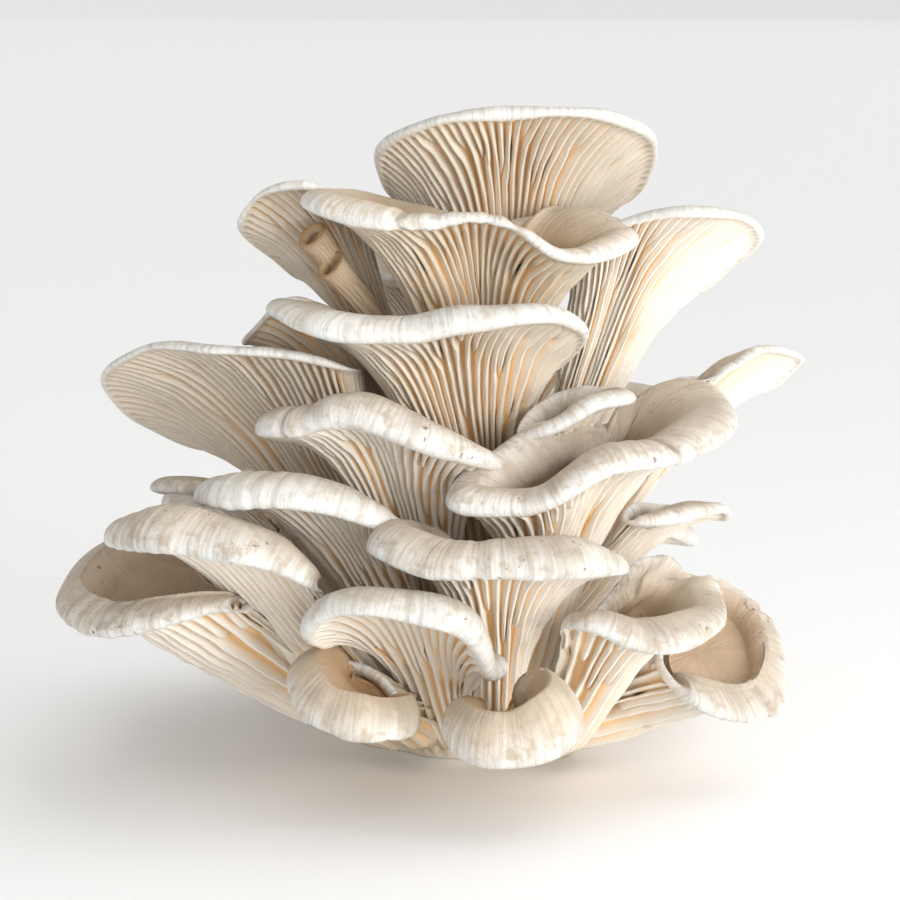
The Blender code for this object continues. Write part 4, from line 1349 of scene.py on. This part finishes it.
@dataclass(frozen=True)
class Flesh:
    """How one kind of mushroom flesh looks."""

    name: str
    blade: Colour = (0.90, 0.84, 0.75)  # the gills' edges
    # The groove colour is partly the roots' own and partly painted warm shade, deep between the
    # blades and at the foot.
    groove: Colour = (0.86, 0.57, 0.28)  # the roots between them
    edge: Colour = (0.78, 0.785, 0.765)  # the lip's lower part
    top: Colour = (0.55, 0.49, 0.41)  # its crest and the top
    shade: Colour = (0.38, 0.32, 0.25)  # clouds on the top
    # The hollow's colour is partly the cap's own tan and partly painted shade, deeper into the
    # hollow.
    deep: Colour = (0.46, 0.30, 0.165)  # the hollow
    brown: Colour = (0.17, 0.085, 0.035)  # flecks and stains
    white: float = 0.30  # how far up the lip its white edge fades out
    clouds: float = 0.5  # how far the clouds show
    flecks: float = 0.08  # share of cells with a fleck
    tan: float = 0.7  # how far the hollow darkens
    sunken: float = 0.3  # and where on the top that begins
    pale: float = 0.15  # how far the streaks pale the gills
    lines: float = 0.13  # how far the streaks darken the top
    drawn: float = 0.28  # and how far the threads do
    rough: float = 0.48  # roughness between the threads
    fibre: float = 0.0004  # height of the threads, m
    fade: float = 0.16  # how far up the lip its white edge begins to fade
    wobble: float = 0.0028  # how far the flecks' outlines are bent, m

    def material(self, effects: Effects) -> bpy.types.Material:
        """The finish as a material.

        Base colour: blade to groove by depth on the gill side, partly painted shade in the grooves
        and at the foot; top, clouds, hollow darkened partly as painted shade, flecks and stains on
        the
        upper side. Bump: threads and a fine grain.

        Args:
            effects: The shared patterns.

        Returns:
            The material.
        """
        made = bpy.data.materials.new(self.name)
        made.use_nodes = True
        graph = Graph(made.node_tree)
        place = graph.add("TexCoord", {}, "Object")
        grain = graph.read("grain", "Vector")
        threads = graph.group(effects.fibres, Vector=grain, Scale=850.0, Length=0.07)
        streaks = graph.group(effects.fibres, Vector=grain, Scale=260.0, Length=0.16)
        cloud = graph.group(effects.mottle, Vector=place, Scale=48.0, Low=0.44, High=0.70)
        patch = graph.group(effects.mottle, Vector=place, Scale=230.0, Low=0.46, High=0.72)
        deep, stained = graph.read("hollow"), graph.read("stain")
        # Painted warm shade, partly the roots' own colour: blade colour turns to groove colour with
        # depth.
        groove = graph.math("POWER", graph.read("groove"), 1.5)
        under = graph.blend(groove, self.blade, self.groove)
        paled = graph.times(graph.span(streaks, 0.35, 0.75), self.pale)
        under = graph.blend(paled, under, self.edge)
        reach = deep
        for ragged, amount in ((streaks, 0.10), (threads, 0.14), (patch, 0.08)):
            reach = graph.plus(graph.times(ragged, amount), reach)
        tanned = graph.span(reach, self.fade, self.fade + self.white)
        over = graph.blend(tanned, self.edge, self.top)
        lined = graph.times(graph.span(streaks, 0.44, 0.70), self.lines)
        clouds = graph.times(cloud, self.clouds), graph.times(patch, 0.6 * self.clouds)
        shaded = graph.math("MAXIMUM", graph.math("MAXIMUM", *clouds), lined)
        shaded = graph.times(shaded, graph.math("MULTIPLY_ADD", tanned, 0.7, 0.3))
        over = graph.blend(shaded, over, self.shade)
        drawn = graph.times(graph.span(threads, 0.46, 0.70), self.drawn)
        over = graph.blend(drawn, over, self.shade)
        # Painted shade, partly the cap's own tan: darker deeper into the hollow.
        hollow = graph.times(graph.span(deep, self.sunken, 0.95), self.tan, clamp=True)
        over = graph.blend(hollow, over, self.deep)
        flecked = graph.times(self.fleck_mask(graph, effects, place), 0.75)
        over = graph.blend(flecked, over, self.brown)
        stain = graph.times(stained, graph.span(threads, 0.2, 0.7))
        over = graph.blend(graph.times(stain, 0.8, clamp=True), over, self.brown)
        height = graph.plus(threads, graph.times(graph.noise(place, 1400.0), 0.35))
        height = graph.plus(height, graph.times(streaks, 0.8))
        bump = {"Strength": 0.8, "Distance": self.fibre, "Height": height}
        looks = {
            "Base Color": graph.blend(graph.read("upper"), under, over),
            "Roughness": graph.plus(self.rough, graph.times(threads, 0.25)),
            "Normal": graph.add("Bump", bump),
            "Specular IOR Level": 0.35,
        }
        for title, value in looks.items():
            graph.feed(made.node_tree.nodes["Principled BSDF"].inputs[title], value)
        return made

    def fleck_mask(self, graph: Graph, effects: Effects, place: Socket) -> Socket:
        """Where the flecks are: specks with bent outlines, crowded into some regions.

        Args:
            graph: The material's nodes.
            effects: The shared patterns.
            place: Object coordinates.

        Returns:
            The mask's socket.
        """
        ragged = graph.noise(place, 520.0, output="Color")
        inputs = {0: ragged, 1: (self.wobble,) * 3, 2: place}
        bent = graph.add("VectorMath", inputs, operation="MULTIPLY_ADD")
        spots = graph.group(effects.flecks, Vector=bent, Scale=560.0, Share=self.flecks, Size=0.40)
        return graph.times(spots, graph.span(graph.noise(place, 38.0), 0.48, 0.66))


FINISHES: dict[Tone, Flesh] = {
    Tone.PALE: Flesh("flesh_pale"),
    # Partly the caps' own tan, partly painted shade: darker blades and top for caps that lie in
    # shade.
    Tone.WARM: Flesh(
        "flesh_tan_and_shaded",
        blade=(0.66, 0.57, 0.45),
        top=(0.60, 0.50, 0.385),
        deep=(0.43, 0.265, 0.135),
        white=0.24,
        clouds=0.6,
        tan=1.0,
        sunken=0.12,
        flecks=0.12,
    ),
    # Painted shade: the pale finish with darker gills, for caps whose gills lie in shade.
    Tone.CREAM: Flesh("flesh_shaded_gills", blade=(0.70, 0.625, 0.52), groove=(0.76, 0.47, 0.21)),
    Tone.FLECKED: Flesh(
        "flesh_flecked", top=(0.55, 0.47, 0.38), white=0.24, clouds=0.8, tan=0.6, flecks=0.20
    ),
    Tone.YOUNG: Flesh(
        "flesh_young",
        blade=(0.62, 0.50, 0.37),
        groove=(0.50, 0.37, 0.24),
        edge=(0.34, 0.20, 0.09),
        top=(0.52, 0.38, 0.24),
        shade=(0.36, 0.24, 0.13),
        deep=(0.50, 0.37, 0.24),
        flecks=0.02,
    ),
    Tone.STUMP: Flesh(
        "flesh_stump",
        blade=(0.80, 0.70, 0.56),
        # Partly painted shade between the base's ridges.
        groove=(0.55, 0.36, 0.18),
        top=(0.74, 0.64, 0.49),
        shade=(0.55, 0.42, 0.27),
        tan=0.0,
        flecks=0.05,
    ),
}


@dataclass(frozen=True)
class Studio:
    """Floor, soft lights and camera, in metres."""

    aim: Point = (-0.0064, 0.0, 0.0955)
    distance: float = 0.805
    elevation: float = 10.0
    lens: float = 100.0
    sky_strength: float = 0.54
    sun_strength: float = 1.5
    sun_spread: float = 70.0  # degrees
    sun_from: Point = (0.75, 0.45, 1.0)
    floor_columns: int = 64
    floor_reach: tuple[float, ...] = (0.4, 1.2, 4.0, 15.0, 60.0, 80.0, 92.0, 98.0)
    floor_level: tuple[float, ...] = (0.0, 0.0, 0.0, 0.0, 0.0, 4.0, 14.0, 42.0)

    def build(self) -> None:
        """Makes everything that isn't part of the object."""
        self.floor()
        self.sky()
        self.lamp("key", (0.68, -0.68, 0.22), 0.6, 7.4, (1.0, 0.99, 0.975))
        self.lamp("fill", (0.30, -0.92, 0.0), 0.8, 3.4, (1.0, 0.985, 0.96))
        self.sun()
        self.camera()
        bpy.context.scene.view_settings.view_transform = "Standard"

    def floor(self) -> None:
        """A wide round pale floor, rings round one middle point, whose far edge curls up."""
        columns, reach = self.floor_columns, np.array(self.floor_reach)[:, None]
        angle = np.arange(columns) / columns * 2 * math.pi
        level = np.array(self.floor_level)[:, None] * np.ones(columns)
        rings = np.stack([reach * np.cos(angle), reach * np.sin(angle), level], axis=2)
        points = np.concatenate([rings.reshape(-1, 3), [[0.0, 0.0, 0.0]]])
        middle = fan_faces(columns, 0, len(points) - 1, closing_top=False)[:, ::-1]
        faces = grid_faces(len(reach), columns)[:, ::-1].tolist() + middle.tolist()
        mesh = bpy.data.meshes.new("floor")
        mesh.from_pydata(points.tolist(), [], faces)
        floor = bpy.data.objects.new("floor", mesh)
        bpy.context.scene.collection.objects.link(floor)
        paint = bpy.data.materials.new("floor_paint")
        paint.use_nodes = True
        shader = paint.node_tree.nodes["Principled BSDF"]
        shader.inputs["Base Color"].default_value = (0.94, 0.94, 0.935, 1.0)
        shader.inputs["Roughness"].default_value = 0.6
        mesh.materials.append(paint)

    def sky(self) -> None:
        """An even pale light from all round."""
        world = bpy.data.worlds.new("studio")
        world.use_nodes = True
        background = world.node_tree.nodes["Background"]
        background.inputs["Color"].default_value = (1.0, 1.0, 1.0, 1.0)
        background.inputs["Strength"].default_value = self.sky_strength
        bpy.context.scene.world = world

    @staticmethod
    def hang(data: bpy.types.ID, place: Vector, looking: Vector) -> bpy.types.Object:
        """Puts a light or a camera in the scene.

        Args:
            data: The light or the camera.
            place: Where it hangs, m.
            looking: The direction it faces.

        Returns:
            Its object.
        """
        made = bpy.data.objects.new(data.name, data)
        made.location = place
        made.rotation_euler = looking.to_track_quat("-Z", "Y").to_euler()
        bpy.context.scene.collection.objects.link(made)
        return made

    def lamp(self, name: str, place: Point, size: float, power: float, tint: Point) -> None:
        """A square area light that faces the cluster.

        Args:
            name: Its name.
            place: Where it hangs, m.
            size: Its side, m.
            power: In watts.
            tint: Its colour.
        """
        light = bpy.data.lights.new(name, "AREA")
        light.size, light.energy, light.color = size, power, tint
        self.hang(light, Vector(place), Vector(self.aim) - Vector(place))

    def sun(self) -> None:
        """A wide soft light from above and behind, the same over the whole floor."""
        light = bpy.data.lights.new("overhead", "SUN")
        light.energy, light.angle = self.sun_strength, math.radians(self.sun_spread)
        self.hang(light, Vector((0.0, 0.0, 0.0)), -Vector(self.sun_from))

    def camera(self) -> None:
        """The camera, in front and a little above."""
        camera = bpy.data.cameras.new("camera")
        camera.lens, camera.sensor_width = self.lens, 36.0
        tilt = math.radians(self.elevation)
        back = Vector((0.0, -math.cos(tilt), math.sin(tilt)))
        bpy.context.scene.camera = self.hang(camera, Vector(self.aim) + back * self.distance, -back)


def main() -> None:
    """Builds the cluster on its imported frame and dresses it."""
    logging.basicConfig(level=logging.INFO, format="%(name)s: %(message)s")
    for old in list(bpy.data.objects):
        bpy.data.objects.remove(old)
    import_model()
    effects = Effects()
    finishes = {tone: flesh.material(effects) for tone, flesh in FINISHES.items()}
    total = 0
    for part in (FusedBase(), *MUSHROOMS):
        piece = part.build(finishes[part.tone])
        triangles = len(piece.data.loops) - 2 * len(piece.data.polygons)
        total += triangles
        LOG.info("%s: %d triangles", piece.name, triangles)
    LOG.info("%d pieces, %d triangles", len(MUSHROOMS) + 1, total)
    Studio().build()


if __name__ == "__main__":
    main()
